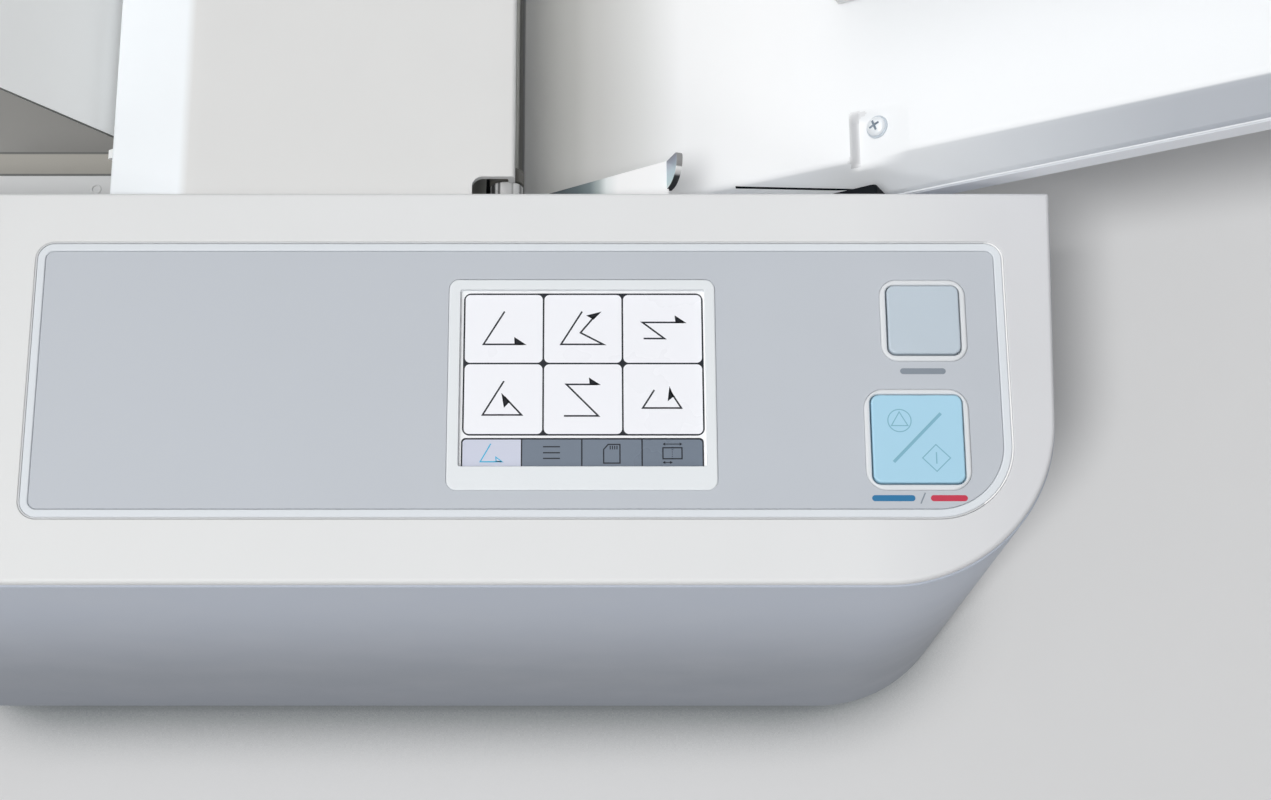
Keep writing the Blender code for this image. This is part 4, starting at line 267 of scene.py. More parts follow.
# Painted shade inside the screws' cross recesses
RECESS_PAINTED_SHADE = material("screw_recess_painted_shade", (132, 144, 156), 0.4, 0.15, grain=900, depth=0.015, cloud=0.04)
# Painted reflections: light and dark stripes across the turned hinge pins
PIN_PAINTED_REFLECTIONS = graded("turned_pin_painted_reflections", 0, (
    (-3.4, 150), (-2.8, 190), (-2.3, 72), (-1.5, 80), (-1.1, 232), (-0.6, 215), (-0.3, 96), (0.0, 110),
    (0.4, 248), (1.4, 226), (3.4, 214), (4.0, 168), (4.3, 236), (5.2, 222), (5.8, 205), (6.1, 112),
    (6.5, 120), (6.8, 244), (7.4, 170)), 0.3, 0.1)
# Painted light and shade: the lever plate's colour runs from dark at its left end to bright at its right.
LEVER_PAINTED_LIGHT = graded("lever_zinc_painted_light", 0, (
    (10, 44), (13, (46, 48, 48)), (18, (62, 72, 76)), (23.5, (84, 97, 101)), (27.4, (112, 125, 128)),
    (30.2, (168, 178, 178)), (32.4, (228, 233, 233)), (36, 250), (52, 254)),
    0.3, 0.1, grain=500, stretch=(1, 12, 1), cloud=0.02)
# Painted reflections and highlights on the lever's turned-up tab, by place along y
TAB_FACE_PAINTED_REFLECTION = graded("lever_tab_face_painted_reflection", 1, (
    (-145, (205, 212, 210)), (-142.5, (176, 200, 204)), (-139.5, (176, 194, 204)), (-137, (165, 172, 188)),
    (-134.5, (146, 147, 156))), 0.3, 0.1, cloud=0.02)
TAB_EDGE_PAINTED_REFLECTION = graded("lever_tab_edge_painted_reflection", 1, (
    (-145, 40), (-143, 44), (-142.2, 60), (-141.6, 190), (-140.9, 214), (-140.2, 240), (-139.8, 240),
    (-139.5, 140), (-137.5, 158), (-134.5, 150)), 0.3, 0.1, cloud=0.02)
PAD = material("cork_pad", (150, 108, 70), 0.9, grain=900, depth=0.25, cloud=0.2, pattern="voronoi")
BOARD = material("circuit_board", (24, 84, 52), 0.45, grain=420, depth=0.03, cloud=0.12, coat=0.3)
SUPPLY = material("supply_can", (0.6, 0.61, 0.62, 1), 0.4, 0.9, grain=700, stretch=(10, 1, 1), cloud=0.05)


# Shapes
def placed(name, data):
    """A new object in the scene."""
    item = bpy.data.objects.new(name, data)
    bpy.context.scene.collection.objects.link(item)
    return item


def shaped(name, vertices, faces, surface):
    """A new object of given points and faces, in one material."""
    mesh = bpy.data.meshes.new(name)
    mesh.from_pydata(vertices, [], faces)
    mesh.materials.append(surface)
    return placed(name, mesh)


def ring(corners, inset=0.0):
    """Points and outward normals of an outline moved in by inset.

    The outline is given anticlockwise by its (across, up, radius) corners."""
    points = []
    normals = []
    count = len(corners)
    for index, (x, y, radius) in enumerate(corners):
        corner = Vector((x, y))
        before = corner - Vector(corners[index - 1][:2])
        after = Vector(corners[(index + 1) % count][:2]) - corner
        before.normalize()
        after.normalize()
        out_before = Vector((before.y, -before.x))
        out_after = Vector((after.y, -after.x))
        side = (out_before + out_after) / (1 + out_before.dot(out_after))
        turn = before.x * after.y - before.y * after.x
        bent = math.atan2(turn, before.dot(after))
        radius = max(radius, 0.12 * MM)
        steps = max(3, min(48, math.ceil(abs(bent) * math.sqrt(radius / MM) * 5)))
        way = 1 if turn >= 0 else -1
        middle = corner - side * radius * way
        now = max(radius - inset * way, 0.01 * MM)
        if radius - inset * way < 0.01 * MM:
            middle = corner - side * (inset + now * way)
        for step in range(steps + 1):
            angle = bent * step / steps
            out = Vector((out_before.x * math.cos(angle) - out_before.y * math.sin(angle),
                          out_before.x * math.sin(angle) + out_before.y * math.cos(angle)))
            points.append(middle + out * now * way)
            normals.append(out)
    return points, normals


def scaled(rows):
    """Corners given in millimetres."""
    return [tuple(value * MM for value in row) for row in rows]


def box_corners(x0, y0, x1, y1, radius):
    return [(x0, y0, radius), (x1, y0, radius), (x1, y1, radius), (x0, y1, radius)]


def round_corners(x, y, radius):
    """A circle, as the corners of a square that are all turned with half its width."""
    return box_corners(x - radius, y - radius, x + radius, y + radius, radius * 0.99999)


def quarter(steps, first=0):
    """Angles from nothing to a right angle."""
    return [math.pi / 2 * step / steps for step in range(first, steps + 1)]


def rise(low, high, top_edge=0.3, low_edge=0.0, steps=6):
    """Levels of a wall from low to high as (level, inset) pairs, its edges rounded by some millimetres."""
    top_edge *= MM
    low_edge *= MM
    foot = [(low + low_edge * (1 - math.cos(angle)), low_edge * (1 - math.sin(angle)))
            for angle in quarter(steps)]
    top = [(high - top_edge * (1 - math.sin(angle)), top_edge * (1 - math.cos(angle)))
           for angle in quarter(steps)]
    return (foot if low_edge > 0 else [(low, 0.0)]) + (top if top_edge > 0 else [(high, 0.0)])


def sink(high, low, top_edge=0.3, low_edge=0.0, steps=6):
    """The levels of a hole's wall, from its upper face down."""
    return [(level, -inset) for level, inset in reversed(rise(low, high, top_edge, low_edge, steps))]


def slopes(levels):
    """The outward and upward parts of the wall's normal at both ends of each step between levels."""
    parts = []
    for (z0, i0), (z1, i1) in zip(levels, levels[1:]):
        length = math.hypot(z1 - z0, i1 - i0) or 1e-9
        parts.append(((z1 - z0) / length, (i1 - i0) / length, length))
    ends = []
    for index, (out, up, length) in enumerate(parts):
        pair = []
        for other in (index - 1, index + 1):
            made = (out, up)
            if 0 <= other < len(parts):
                o_out, o_up, o_length = parts[other]
                if out * o_out + up * o_up > 0.8:
                    made = (out * length ** 2 + o_out * o_length ** 2,
                            up * length ** 2 + o_up * o_length ** 2)
            elif abs(up) > 0.9:
                made = (0.0, math.copysign(1.0, up))
            size = math.hypot(*made) or 1.0
            pair.append((made[0] / size, made[1] / size))
        ends.append(pair)
    return ends


def solid(name, corners, levels, surface, holes=(), axis="z", matrix=None):
    """A body with rounded edges: rings of its outline at each level, closed by flat faces with any holes."""
    turn = AXES[axis]
    places = []
    faces = []
    normals = []
    low_loops = []
    top_loops = []
    outlines = [(corners, levels, False)] + [(hole, steps, True) for hole, steps in holes]
    for shape, steps, is_hole in outlines:
        starts = []
        outs = None
        for level, inset in steps:
            points, outs = ring(shape, inset)
            starts.append(len(places))
            places += [turn @ Vector((point.x, point.y, level)) for point in points]
        count = len(outs)
        for (start, end), (first, second) in zip(slopes(steps), zip(starts, starts[1:])):
            low = [turn @ Vector((out.x * start[0], out.y * start[0], start[1])) for out in outs]
            high = [turn @ Vector((out.x * end[0], out.y * end[0], end[1])) for out in outs]
            for index in range(count):
                after = (index + 1) % count
                faces.append((first + index, first + after, second + after, second + index))
                normals += [low[index], low[after], high[after], high[index]]
        loops = [list(range(starts[0], starts[0] + count)), list(range(starts[-1], starts[-1] + count))]
        if is_hole:
            loops.reverse()
        low_loops.append(loops[0])
        top_loops.append(loops[1])
    back = turn.transposed()
    for loops, up in ((low_loops, -1), (top_loops, 1)):
        flat = [[back @ places[index] for index in loop] for loop in loops]
        joined = [index for loop in loops for index in loop]
        for triangle in tessellate_polygon(flat):
            a, b, c = (joined[index] for index in triangle)
            cross = (back @ (places[b] - places[a])).cross(back @ (places[c] - places[a])).z
            if abs(cross) < 1e-14:
                continue
            faces.append((a, b, c) if cross * up > 0 else (a, c, b))
            normals += [turn @ Vector((0, 0, up))] * 3
    if matrix is not None:
        places = [matrix @ place for place in places]
        spin = matrix.to_3x3()
        normals = [(spin @ normal).normalized() for normal in normals]
    item = shaped(name, places, faces, surface)
    item.data.shade_smooth()
    item.data.normals_split_custom_set(normals)
    return item


def own(item, body, slot, *replaced):
    """Attach a piece to the body it moves with and hide the plain shapes it stands for. Its finish, the slot,
    is not used.
    """
    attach(item, body)
    if replaced:
        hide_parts(*replaced)
    return item


def piece(name, corners, levels, surface, slot, *replaced, body="machine", **more):
    """A solid attached to its body, hiding what it stands for. Its finish, the slot, is not used."""
    return own(solid(name, corners, levels, surface, **more), body, slot, *replaced)


def y_levels(start, end):
    """The two levels of a body built along y that lies between two places."""
    return sorted((-start, -end))


SIDES = (("front", 1), ("rear", -1))

# Pod: housing, top cover, panel
POD_CORNER = 50 * MM
POD_LEFT_CORNER = 8 * MM
COVER_T = 3 * MM
POD_REACH = 0.85 * MM
POD_LEAN = 4.2 * MM


def pod_corners(node):
    low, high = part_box(node)
    grown = 0.5 * MM if node == "operator_housing" else 0.0
    return [(low.x, low.y, POD_LEFT_CORNER + grown), (high.x - POD_LEAN, low.y, POD_CORNER + grown),
            (high.x, high.y, 0.8 * MM), (low.x, high.y, 0.8 * MM)]


PANEL_LOW, PANEL_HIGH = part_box("panel_plate")
PANEL_CORNERS = [(PANEL_LOW.x, PANEL_LOW.y, 5 * MM), (PANEL_HIGH.x, PANEL_LOW.y, 22 * MM),
                 (PANEL_HIGH.x, PANEL_HIGH.y, 5 * MM), (PANEL_LOW.x, PANEL_HIGH.y, 5 * MM)]
TOP_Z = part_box("control_cover")[1].z
RIM = 2.4 * MM
RECESS_Z = TOP_Z - 0.9 * MM


def node_corners(node, radius, inset=0.0):
    low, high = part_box(node)
    return box_corners(low.x + inset, low.y + inset, high.x - inset, high.y - inset, radius)


def inset_corners(corners, inset):
    """The same outline moved in, its corners' radii kept to at least a little."""
    xs = [x for x, _, _ in corners]
    ys = [y for _, y, _ in corners]
    middle_x = (min(xs) + max(xs)) / 2
    middle_y = (min(ys) + max(ys)) / 2
    return [(x - math.copysign(1, x - middle_x) * inset, y - math.copysign(1, y - middle_y) * inset,
             max(radius - inset, 0.2 * MM)) for x, y, radius in corners]


def build_pod():
    low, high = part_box("operator_housing")
    outer = pod_corners("operator_housing")
    inner = inset_corners(outer, 2.5 * MM)
    piece("housing_shell", outer, rise(low.z, high.z, 0.6, 1.2), GREY, "grey_plastic",
          "operator_housing", holes=[(inner, sink(high.z, low.z, 0.2))])
    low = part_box("control_cover")[0]
    under = TOP_Z - COVER_T
    opening = inset_corners(PANEL_CORNERS, -0.55 * MM)
    outline = [(x, y + (POD_REACH if y > low.y + POD_CORNER else 0.0), radius)
               for x, y, radius in pod_corners("control_cover")]
    piece("pod_top", outline, rise(under, TOP_Z, 1.3, 0.3), POD_PAINTED_SHADE, "white_plastic", "control_cover",
          holes=[(opening, sink(TOP_Z, under, 0.35))])
    skirt = inset_corners(pod_corners("control_cover"), 3.4 * MM)
    inner = inset_corners(skirt, 1.6 * MM)
    piece("pod_top_skirt", skirt, rise(low.z, under, 0.0, 0.4), WHITE, "white_plastic", "control_cover",
          holes=[(inner, sink(under, low.z, 0.0))])


# What passes through the panel, with its hole's corner and inset, and the film's corner
PANEL_FITTINGS = (("screen_bezel", 3, 1.5, 3.2), ("test_button_ring", 4.5, 0.8, 5),
                  ("start_button_ring", 5.2, 0.8, 6))
BEZEL_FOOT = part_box("screen_bezel")[0].z
WINDOW_X = 25.15 * MM
WINDOW_Y = -208.2 * MM
WINDOW = box_corners(WINDOW_X - 35.85 * MM, WINDOW_Y - 27 * MM, WINDOW_X + 35.85 * MM,
                     WINDOW_Y + 27 * MM, 0.7 * MM)
SCREEN_Z = TOP_Z - 1.5 * MM
RIM_EDGE = 0.45 * MM
LINE_DEPTH = 0.8 * MM


def build_panel():
    low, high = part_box("control_fascia")
    holes = []
    film_holes = []
    for node, corner, inset, film_corner in PANEL_FITTINGS:
        holes.append((node_corners(node, corner * MM, inset * MM), sink(RECESS_Z, PANEL_LOW.z, 0.0)))
        film_holes.append((node_corners(node, film_corner * MM, -0.05 * MM),
                           sink(high.z, low.z, 0.05)))
    levels = rise(PANEL_LOW.z, TOP_Z, 0.4)
    for angle in quarter(6):
        levels.append((TOP_Z - RIM_EDGE * (1 - math.cos(angle)), RIM - RIM_EDGE * (1 - math.sin(angle))))
    levels.append((RECESS_Z, RIM))
    piece("panel_plate_fine", PANEL_CORNERS, levels, PANEL, "white_plastic", "panel_plate", holes=holes)
    # A thin ring in the gap round the panel: painted shade on most of it, a painted highlight along its right
    # side
    inner = (inset_corners(PANEL_CORNERS, -0.05 * MM), sink(TOP_Z, TOP_Z - LINE_DEPTH, 0.05))
    line = piece("panel_edge", inset_corners(PANEL_CORNERS, -0.48 * MM),
                 rise(TOP_Z - LINE_DEPTH, TOP_Z, 0.1), EDGE_PAINTED_SHADE, "white_plastic", holes=[inner])
    line.data.materials.append(EDGE_PAINTED_HIGHLIGHT)
    # Faces near the panel's right side take the painted highlight.
    for face in line.data.polygons:
        if face.center.x > PANEL_HIGH.x - 9 * MM:
            face.material_index = 1
    piece("fascia_sheet", inset_corners(PANEL_CORNERS, RIM + 0.12 * MM), rise(low.z, high.z, 0.12),
          FASCIA, "fascia_film", "control_fascia", holes=film_holes)


def build_screen():
    low_z = RECESS_Z + 0.2 * MM
    piece("bezel_frame", node_corners("screen_bezel", 3 * MM), rise(low_z, TOP_Z, 0.55), BEZEL,
          "white_plastic", "screen_bezel", holes=[(WINDOW, sink(TOP_Z, BEZEL_FOOT, 0.25))])
    body = node_corners("screen_bezel", 2 * MM, 1.6 * MM)
    piece("bezel_sleeve", body, rise(BEZEL_FOOT, low_z, 0.0, 0.4), WHITE, "white_plastic",
          "screen_bezel", holes=[(inset_corners(body, 1.3 * MM), sink(low_z, BEZEL_FOOT, 0.0))])
    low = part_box("touch_screen")[0]
    piece("screen_glass", node_corners("touch_screen", 0.8 * MM, 0.2 * MM), rise(low.z, SCREEN_Z, 0.1),
          GLASS, "screen", "touch_screen")


# Drawing on the screen, in millimetres from the window's middle
CELL_X = (-34.65, -11.45, 11.7, 35.15)
CELL_Y = (26.0, 4.5, -17.2)
TAB_X = (-34.85, -17.6, -0.2, 17.2, 34.8)
TAB_TOP = -18.4
TAB_LOW = -26.9
STROKE = 0.5
FOLD_LINES = (
    ((-22.9, 20.6), (-29.0, 10.4), (-17.4, 10.4)),
    ((-0.1, 20.6), (-6.3, 10.4), (6.1, 10.4), (-0.6, 14.0), (3.5, 19.0)),
    ((17.9, 12.2), (24.0, 12.2), (17.6, 17.2), (29.7, 17.2)),
    ((-22.9, -0.9), (-29.0, -11.2), (-17.7, -11.2), (-22.7, -5.7)),
    ((-5.4, -11.5), (4.6, -11.5), (-4.7, -1.9), (4.4, -1.9)),
    ((20.9, -3.6), (17.5, -9.1), (28.7, -9.1), (25.7, -4.3)),
)
ARROWS = (
    ((-19.8, 12.3), (-17.0, 10.4), (-19.7, 10.4)),
    ((5.0, 20.2), (1.6, 19.3), (3.2, 18.3)),
    ((27.3, 19.0), (29.9, 17.2), (27.5, 17.2)),
    ((-23.3, -5.1), (-22.7, -8.6), (-21.4, -7.2)),
    ((2.1, -0.2), (4.7, -1.9), (2.3, -1.9)),
    ((25.4, -3.2), (25.0, -6.6), (26.3, -5.5)),
)
CARD = ((6.1, -21.6), (7.4, -20.1), (10.8, -20.1), (10.8, -25.7), (6.1, -25.7))
MARGIN_FRAME = ((23.2, -24.4), (28.7, -24.4), (28.7, -21.1), (23.2, -21.1))


def stroke(points, width, closed=False):
    """A drawn line of some width with pointed corners, as four-cornered patches."""
    points = [Vector(point) for point in points]
    count = len(points)
    sides = []
    for index, point in enumerate(points):
        before = points[index - 1] if index or closed else None
        after = points[(index + 1) % count] if index < count - 1 or closed else None
        ways = [(point - before).normalized()] if before is not None else []
        ways += [(after - point).normalized()] if after is not None else []
        outs = [Vector((-way.y, way.x)) for way in ways]
        side = outs[0] if len(outs) == 1 else (outs[0] + outs[1]) / max(1 + outs[0].dot(outs[1]), 0.12)
        sides.append(side * width / 2)
    patches = []
    for index in range(count if closed else count - 1):
        after = (index + 1) % count
        patches.append((points[index] - sides[index], points[after] - sides[after],
                        points[after] + sides[after], points[index] + sides[index]))
    return patches


def decal(name, patches, surface, body, slot, origin, low, high):
    """Thin flat patches, given in millimetres from a place, standing from low to high."""
    vertices = []
    faces = []
    for patch in patches:
        start = len(vertices)
        count = len(patch)
        area = sum(one[0] * other[1] - other[0] * one[1]
                   for one, other in zip(patch, list(patch[1:]) + list(patch[:1])))
        patch = list(patch) if area > 0 else list(reversed(patch))
        for level in (low, high):
            vertices += [(origin[0] + x * MM, origin[1] + y * MM, level) for x, y in patch]
        faces.append(tuple(range(start + count - 1, start - 1, -1)))
        faces.append(tuple(range(start + count, start + 2 * count)))
        for index in range(count):
            after = (index + 1) % count
            faces.append((start + index, start + after, start + count + after, start + count + index))
    return own(shaped(name, vertices, faces, surface), body, slot)


def disc(x, y, radius, steps=40):
    return [(x + radius * math.cos(2 * math.pi * s / steps), y + radius * math.sin(2 * math.pi * s / steps))
            for s in range(steps)]


def plate_mm(x0, y0, x1, y1, *radii):
    """A rounded patch in millimetres; radii from the lower left corner, anticlockwise."""
    radii = radii * 4 if len(radii) == 1 else radii
    corners = [(x0 * MM, y0 * MM, radii[0] * MM), (x1 * MM, y0 * MM, radii[1] * MM),
               (x1 * MM, y1 * MM, radii[2] * MM), (x0 * MM, y1 * MM, radii[3] * MM)]
    return [(point.x / MM, point.y / MM) for point in ring(corners)[0]]


def build_drawing():
    middle = (WINDOW_X, WINDOW_Y)
    sheets = [("ink", LINE, 0.02, 0.04), ("cells", CELL, 0.04, 0.06), ("signs", LINE, 0.06, 0.08)]
    half = STROKE / 2
    grid = [plate_mm(CELL_X[0] - half, CELL_Y[2] - half, CELL_X[3] + half, CELL_Y[0] + half, 2.2)]
    grid.append(plate_mm(TAB_X[0] - half, TAB_LOW, TAB_X[4] + half, TAB_TOP + half, 0.1, 0.1, 1.3, 1.3))
    cells = []
    for column in range(3):
        for row in range(2):
            cells.append(plate_mm(CELL_X[column] + half, CELL_Y[row + 1] + half, CELL_X[column + 1] - half,
                                  CELL_Y[row] - half, 1.5))
    signs = []
    for line, arrow in zip(FOLD_LINES, ARROWS):
        signs += stroke(line, STROKE)
        signs += stroke(arrow, STROKE * 0.8, True)
        signs.append(arrow)
    for height in (-20.8, -22.6, -24.3):
        signs += stroke(((-11.4, height), (-6.5, height)), 0.36)
    signs += stroke(CARD, 0.36, True)
    for across in (8.0, 8.65, 9.3, 9.95):
        signs += stroke(((across, -20.5), (across, -21.6)), 0.3)
    signs += stroke(MARGIN_FRAME, 0.36, True)
    for height in (-21.6, -22.25, -22.9, -23.55, -24.15):
        signs += stroke(((25.9, height), (25.9, height - 0.25)), 0.25)
    for left, right, height in ((23.1, 28.8, -20.0), (23.1, 26.0, -25.5)):
        signs += stroke(((left + 0.3, height), (right - 0.3, height)), 0.24)
        signs.append(((left, height), (left + 0.75, height - 0.45), (left + 0.75, height + 0.45)))
        signs.append(((right, height), (right - 0.75, height + 0.45), (right - 0.75, height - 0.45)))
    for (name, surface, low, high), patches in zip(sheets, (grid, cells, signs)):
        decal(f"screen_{name}", patches, surface, "machine", "screen", middle,
              SCREEN_Z + low * MM, SCREEN_Z + high * MM)
    tabs = []
    for index in range(4):
        left = TAB_X[index] + half * 0.8
        right = TAB_X[index + 1] - half * 0.8
        tabs.append(plate_mm(left, TAB_LOW, right, TAB_TOP - half, 0.1, 0.1, 1.0 if index == 3 else 0.1,
                             1.0 if index == 0 else 0.1))
    low, high = SCREEN_Z + 0.04 * MM, SCREEN_Z + 0.055 * MM
    decal("screen_tab_on", tabs[:1], TAB_ON, "machine", "screen", middle, low, high)
    decal("screen_tabs_off", tabs[1:], TAB_OFF, "machine", "screen", middle, low, high)
    sign = stroke(((-26.5, -19.9), (-29.5, -25.3), (-23.4, -25.3)), 0.36)
    sign += stroke(((-25.0, -23.9), (-23.2, -25.3), (-24.9, -25.2)), 0.3, True)
    decal("screen_tab_sign", sign, CYAN, "machine", "screen", middle, high, high + 0.02 * MM)


# Keys
KEYS = (("test_button_ring", "test_button", 21.0, 5.0, 2.2, TEST_CAP, "test_cap"),
        ("start_button_ring", "start_stop_button", 26.3, 6.0, 2.4, START_CAP, "start_cap"))
KEY_GAP = 0.35 * MM
KEY_FOOT = 1.2 * MM


def build_keys():
    for ring_node, key, width, corner, cap_corner, surface, slot in KEYS:
        low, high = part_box(ring_node)
        cap_low, cap_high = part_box(key)
        middle = (low + high) / 2
        half = width * MM / 2
        well = box_corners(middle.x - half - KEY_GAP, middle.y - half - KEY_GAP, middle.x + half + KEY_GAP,
                           middle.y + half + KEY_GAP, cap_corner * MM + 0.2 * MM)
        piece(f"{ring_node}_fine", node_corners(ring_node, corner * MM), rise(low.z, high.z, 0.7), RING,
              "white_plastic", ring_node, holes=[(well, sink(high.z, low.z, 0.5))])
        cap = box_corners(middle.x - half, middle.y - half, middle.x + half, middle.y + half, cap_corner * MM)
        piece(f"{key}_cap", cap, rise(cap_low.z + KEY_FOOT, cap_high.z, 0.55), surface, slot, key,
              body=key)
        piece(f"{key}_foot", node_corners(key, cap_corner * MM + 0.3 * MM),
              rise(cap_low.z, cap_low.z + KEY_FOOT, 0.2), surface, slot, key, body=key)


def build_key_marks():
    low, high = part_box("start_stop_button")
    middle = ((low.x + high.x) / 2, (low.y + high.y) / 2)
    top = high.z
    circle = stroke(disc(-5.2, 5.3, 3.35), 0.3, True)
    triangle = stroke([(-5.2 + 2.75 * math.cos(a), 5.15 + 2.75 * math.sin(a)) for a in
                       (math.pi / 2, math.pi * 7 / 6, math.pi * 11 / 6)], 0.3, True)
    diamond = stroke(((4.95, -1.9), (1.0, -5.9), (4.95, -9.9), (9.0, -5.9)), 0.3, True)
    bar = stroke(((5.0, -4.2), (5.0, -7.6)), 0.34)
    slash = stroke(((-7.3, -7.1), (6.8, 7.5)), 0.9)
    decal("start_stop_signs", circle + triangle + diamond + bar + slash, CAP_MARK, "start_stop_button",
          "start_cap", middle, top - 0.05 * MM, top + 0.02 * MM)


def build_captions():
    """Plain coloured marks beside the keys."""
    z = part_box("control_fascia")[1].z
    origin = (25 * MM, -215.3 * MM)
    marks = (
        ("mark_grey", INK_GREY, [plate_mm(92.6, 7.9, 105.9, 9.7, 0.9)]),
        ("mark_blue", INK_BLUE, [plate_mm(83.0, -30.3, 95.4, -28.5, 0.9)]),
        ("mark_slash", INK_GREY, stroke(((96.9, -31.0), (98.3, -27.8)), 0.4)),
        ("mark_red", INK_RED, [plate_mm(99.8, -30.3, 110.4, -28.5, 0.9)]),
    )
    for name, surface, patches in marks:
        decal(name, patches, surface, "machine", "fascia_film", origin, z, z + 0.03 * MM)


build_pod()
build_panel()
build_screen()
build_drawing()
build_keys()
build_key_marks()
build_captions()


# Roller cover
COVER_LOW, COVER_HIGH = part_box("roller_cover")
HINGE_X = 2 * MM
HINGE_Z = 206 * MM
COVER_RIGHT = 4.8 * MM
COVER_BEND = -94 * MM
COVER_DROP = 6.5 * MM
NOTCH_LEFT = -8 * MM
NOTCH_DEPTH = 6.4 * MM
NOTCH_CORNER = 3.2 * MM
COVER_WALL = 2 * MM
COVER_FLANGE = 5 * MM
LUG_RADIUS = 5.2 * MM
LUG_BORE = 3.3 * MM
LUG_WIDTH = 4.5 * MM
LUG_SETBACK = 5.2 * MM
NECK_LEFT = 4.6 * MM
NECK_RIGHT = 2.2 * MM
NECK_FOOT = 3.6 * MM
PIN_LENGTH = 18.3 * MM
# Name, radius, start and end in millimetres from the pin's outer end
PIN_PARTS = (("collar", 5.0, 4.8, 12.8), ("spigot", 3.0, 0.0, 18.3))
SHELF_X = (-9.6 * MM, -4.6 * MM)
SHELF_Z = (197.4 * MM, 199.2 * MM)
SHELF_LENGTH = 17 * MM


def bevelled(item, width, segments=3, angle=40.0):
    step = item.modifiers.new("edges", "BEVEL")
    step.width = width
    step.segments = segments
    step.limit_method = "ANGLE"
    step.angle_limit = math.radians(angle)
    step.harden_normals = True
    step.miter_outer = "MITER_ARC"


def apply_all(item):
    """Keep a piece's evaluated shape in place of its modifiers."""
    depsgraph = bpy.context.evaluated_depsgraph_get()
    mesh = bpy.data.meshes.new_from_object(item.evaluated_get(depsgraph))
    item.modifiers.clear()
    old = item.data
    item.data = mesh
    bpy.data.meshes.remove(old)


def carve(item, *cutters):
    """Cut shapes out of a piece for good."""
    for cutter in cutters:
        step = item.modifiers.new("cut", "BOOLEAN")
        step.operation = "DIFFERENCE"
        step.solver = "EXACT"
        step.object = cutter
    apply_all(item)
    for cutter in cutters:
        bpy.data.objects.remove(cutter)


def plain(name, corners, low, high, surface, axis="z"):
    """A body without rounded edges, ready to be cut and bevelled."""
    item = solid(name, corners, [(low, 0.0), (high, 0.0)], surface, axis=axis)
    bpy.context.evaluated_depsgraph_get().update()
    if item.data.has_custom_normals:
        bpy.context.view_layer.objects.active = item
        item.select_set(True)
        bpy.ops.mesh.customdata_custom_splitnormals_clear()
        item.select_set(False)
    return item


def build_cover():
    top = COVER_HIGH.z
    wall = COVER_WALL
    flange = COVER_FLANGE
    flat = top - wall
    low_left = top - COVER_DROP - flange
    outer = [(COVER_LOW.x, low_left, 0.3 * MM), (COVER_LOW.x + wall, low_left, 0.3 * MM),
             (COVER_LOW.x + wall, flat - COVER_DROP, 0.8 * MM), (COVER_BEND + 0.5 * MM, flat, 28 * MM),
             (COVER_RIGHT - wall, flat, 0.6 * MM), (COVER_RIGHT - wall, top - flange, 0.3 * MM),
             (COVER_RIGHT, top - flange, 0.3 * MM), (COVER_RIGHT, top, 1.3 * MM),
             (COVER_BEND, top, 30 * MM), (COVER_LOW.x, top - COVER_DROP, 1.3 * MM)]
    sheet = plain("cover_top", outer, -COVER_HIGH.y, -COVER_LOW.y, COVER_PAINTED_LIGHT, axis="y")
    cutters = []
    for place, way in ((COVER_LOW.y, 1), (COVER_HIGH.y, -1)):
        ends = sorted((place - way * 5 * MM, place + way * NOTCH_DEPTH))
        corners = box_corners(NOTCH_LEFT, ends[0], COVER_RIGHT + 5 * MM, ends[1], NOTCH_CORNER)
        cutters.append(plain(f"notch_{len(cutters)}", corners, top - 20 * MM, top + 5 * MM, COVER_PAINTED_LIGHT))
    carve(sheet, *cutters)
    bevelled(sheet, 0.5 * MM)
    apply_all(sheet)
    own(sheet, "roller_cover", "white_plastic", "roller_cover")
    for side, way in SIDES:
        low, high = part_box(f"cover_hinge_pin_{side}")
        start = (high.y if way > 0 else low.y) - way * LUG_SETBACK
        low_y, high_y = y_levels(start, start + way * LUG_WIDTH)
        bore = (round_corners(HINGE_X, HINGE_Z, LUG_BORE), sink(high_y, low_y, 0.2))
        # The white cover's lugs and necks are coloured dark grey: painted shade in the hinge notch.
        piece(f"cover_lug_{side}", round_corners(HINGE_X, HINGE_Z, LUG_RADIUS),
              rise(low_y, high_y, 0.4, 0.4), HINGE_PAINTED_SHADE, "white_plastic", body="roller_cover",
              axis="y", holes=[bore])
        neck = box_corners(HINGE_X - NECK_LEFT, HINGE_Z + NECK_FOOT, HINGE_X + NECK_RIGHT, flat + 0.5 * MM,
                           0.3 * MM)
        piece(f"cover_neck_{side}", neck, rise(low_y + 0.1 * MM, high_y - 0.1 * MM, 0.2, 0.2),
              HINGE_PAINTED_SHADE, "white_plastic", body="roller_cover", axis="y")


def build_hinge_pins():
    for side, way in SIDES:
        name = f"cover_hinge_pin_{side}"
        low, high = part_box(name)
        base = high.y - PIN_LENGTH if way > 0 else low.y + PIN_LENGTH
        for part, radius, first, last in PIN_PARTS:
            ends = y_levels(base + way * first * MM, base + way * last * MM)
            piece(f"{name}_{part}", round_corners(HINGE_X, HINGE_Z, radius * MM),
                  rise(*ends, 0.5, 0.5), PIN_PAINTED_REFLECTIONS, "bright_pin", name, axis="y")
        edge = COVER_LOW.y if way > 0 else COVER_HIGH.y
        ends = sorted((edge, edge + way * SHELF_LENGTH))
        piece(f"hinge_shelf_{side}", box_corners(SHELF_X[0], ends[0], SHELF_X[1], ends[1], 0.5 * MM),
              rise(*SHELF_Z, 0.2), HINGE_GREY, "dark_sheet")


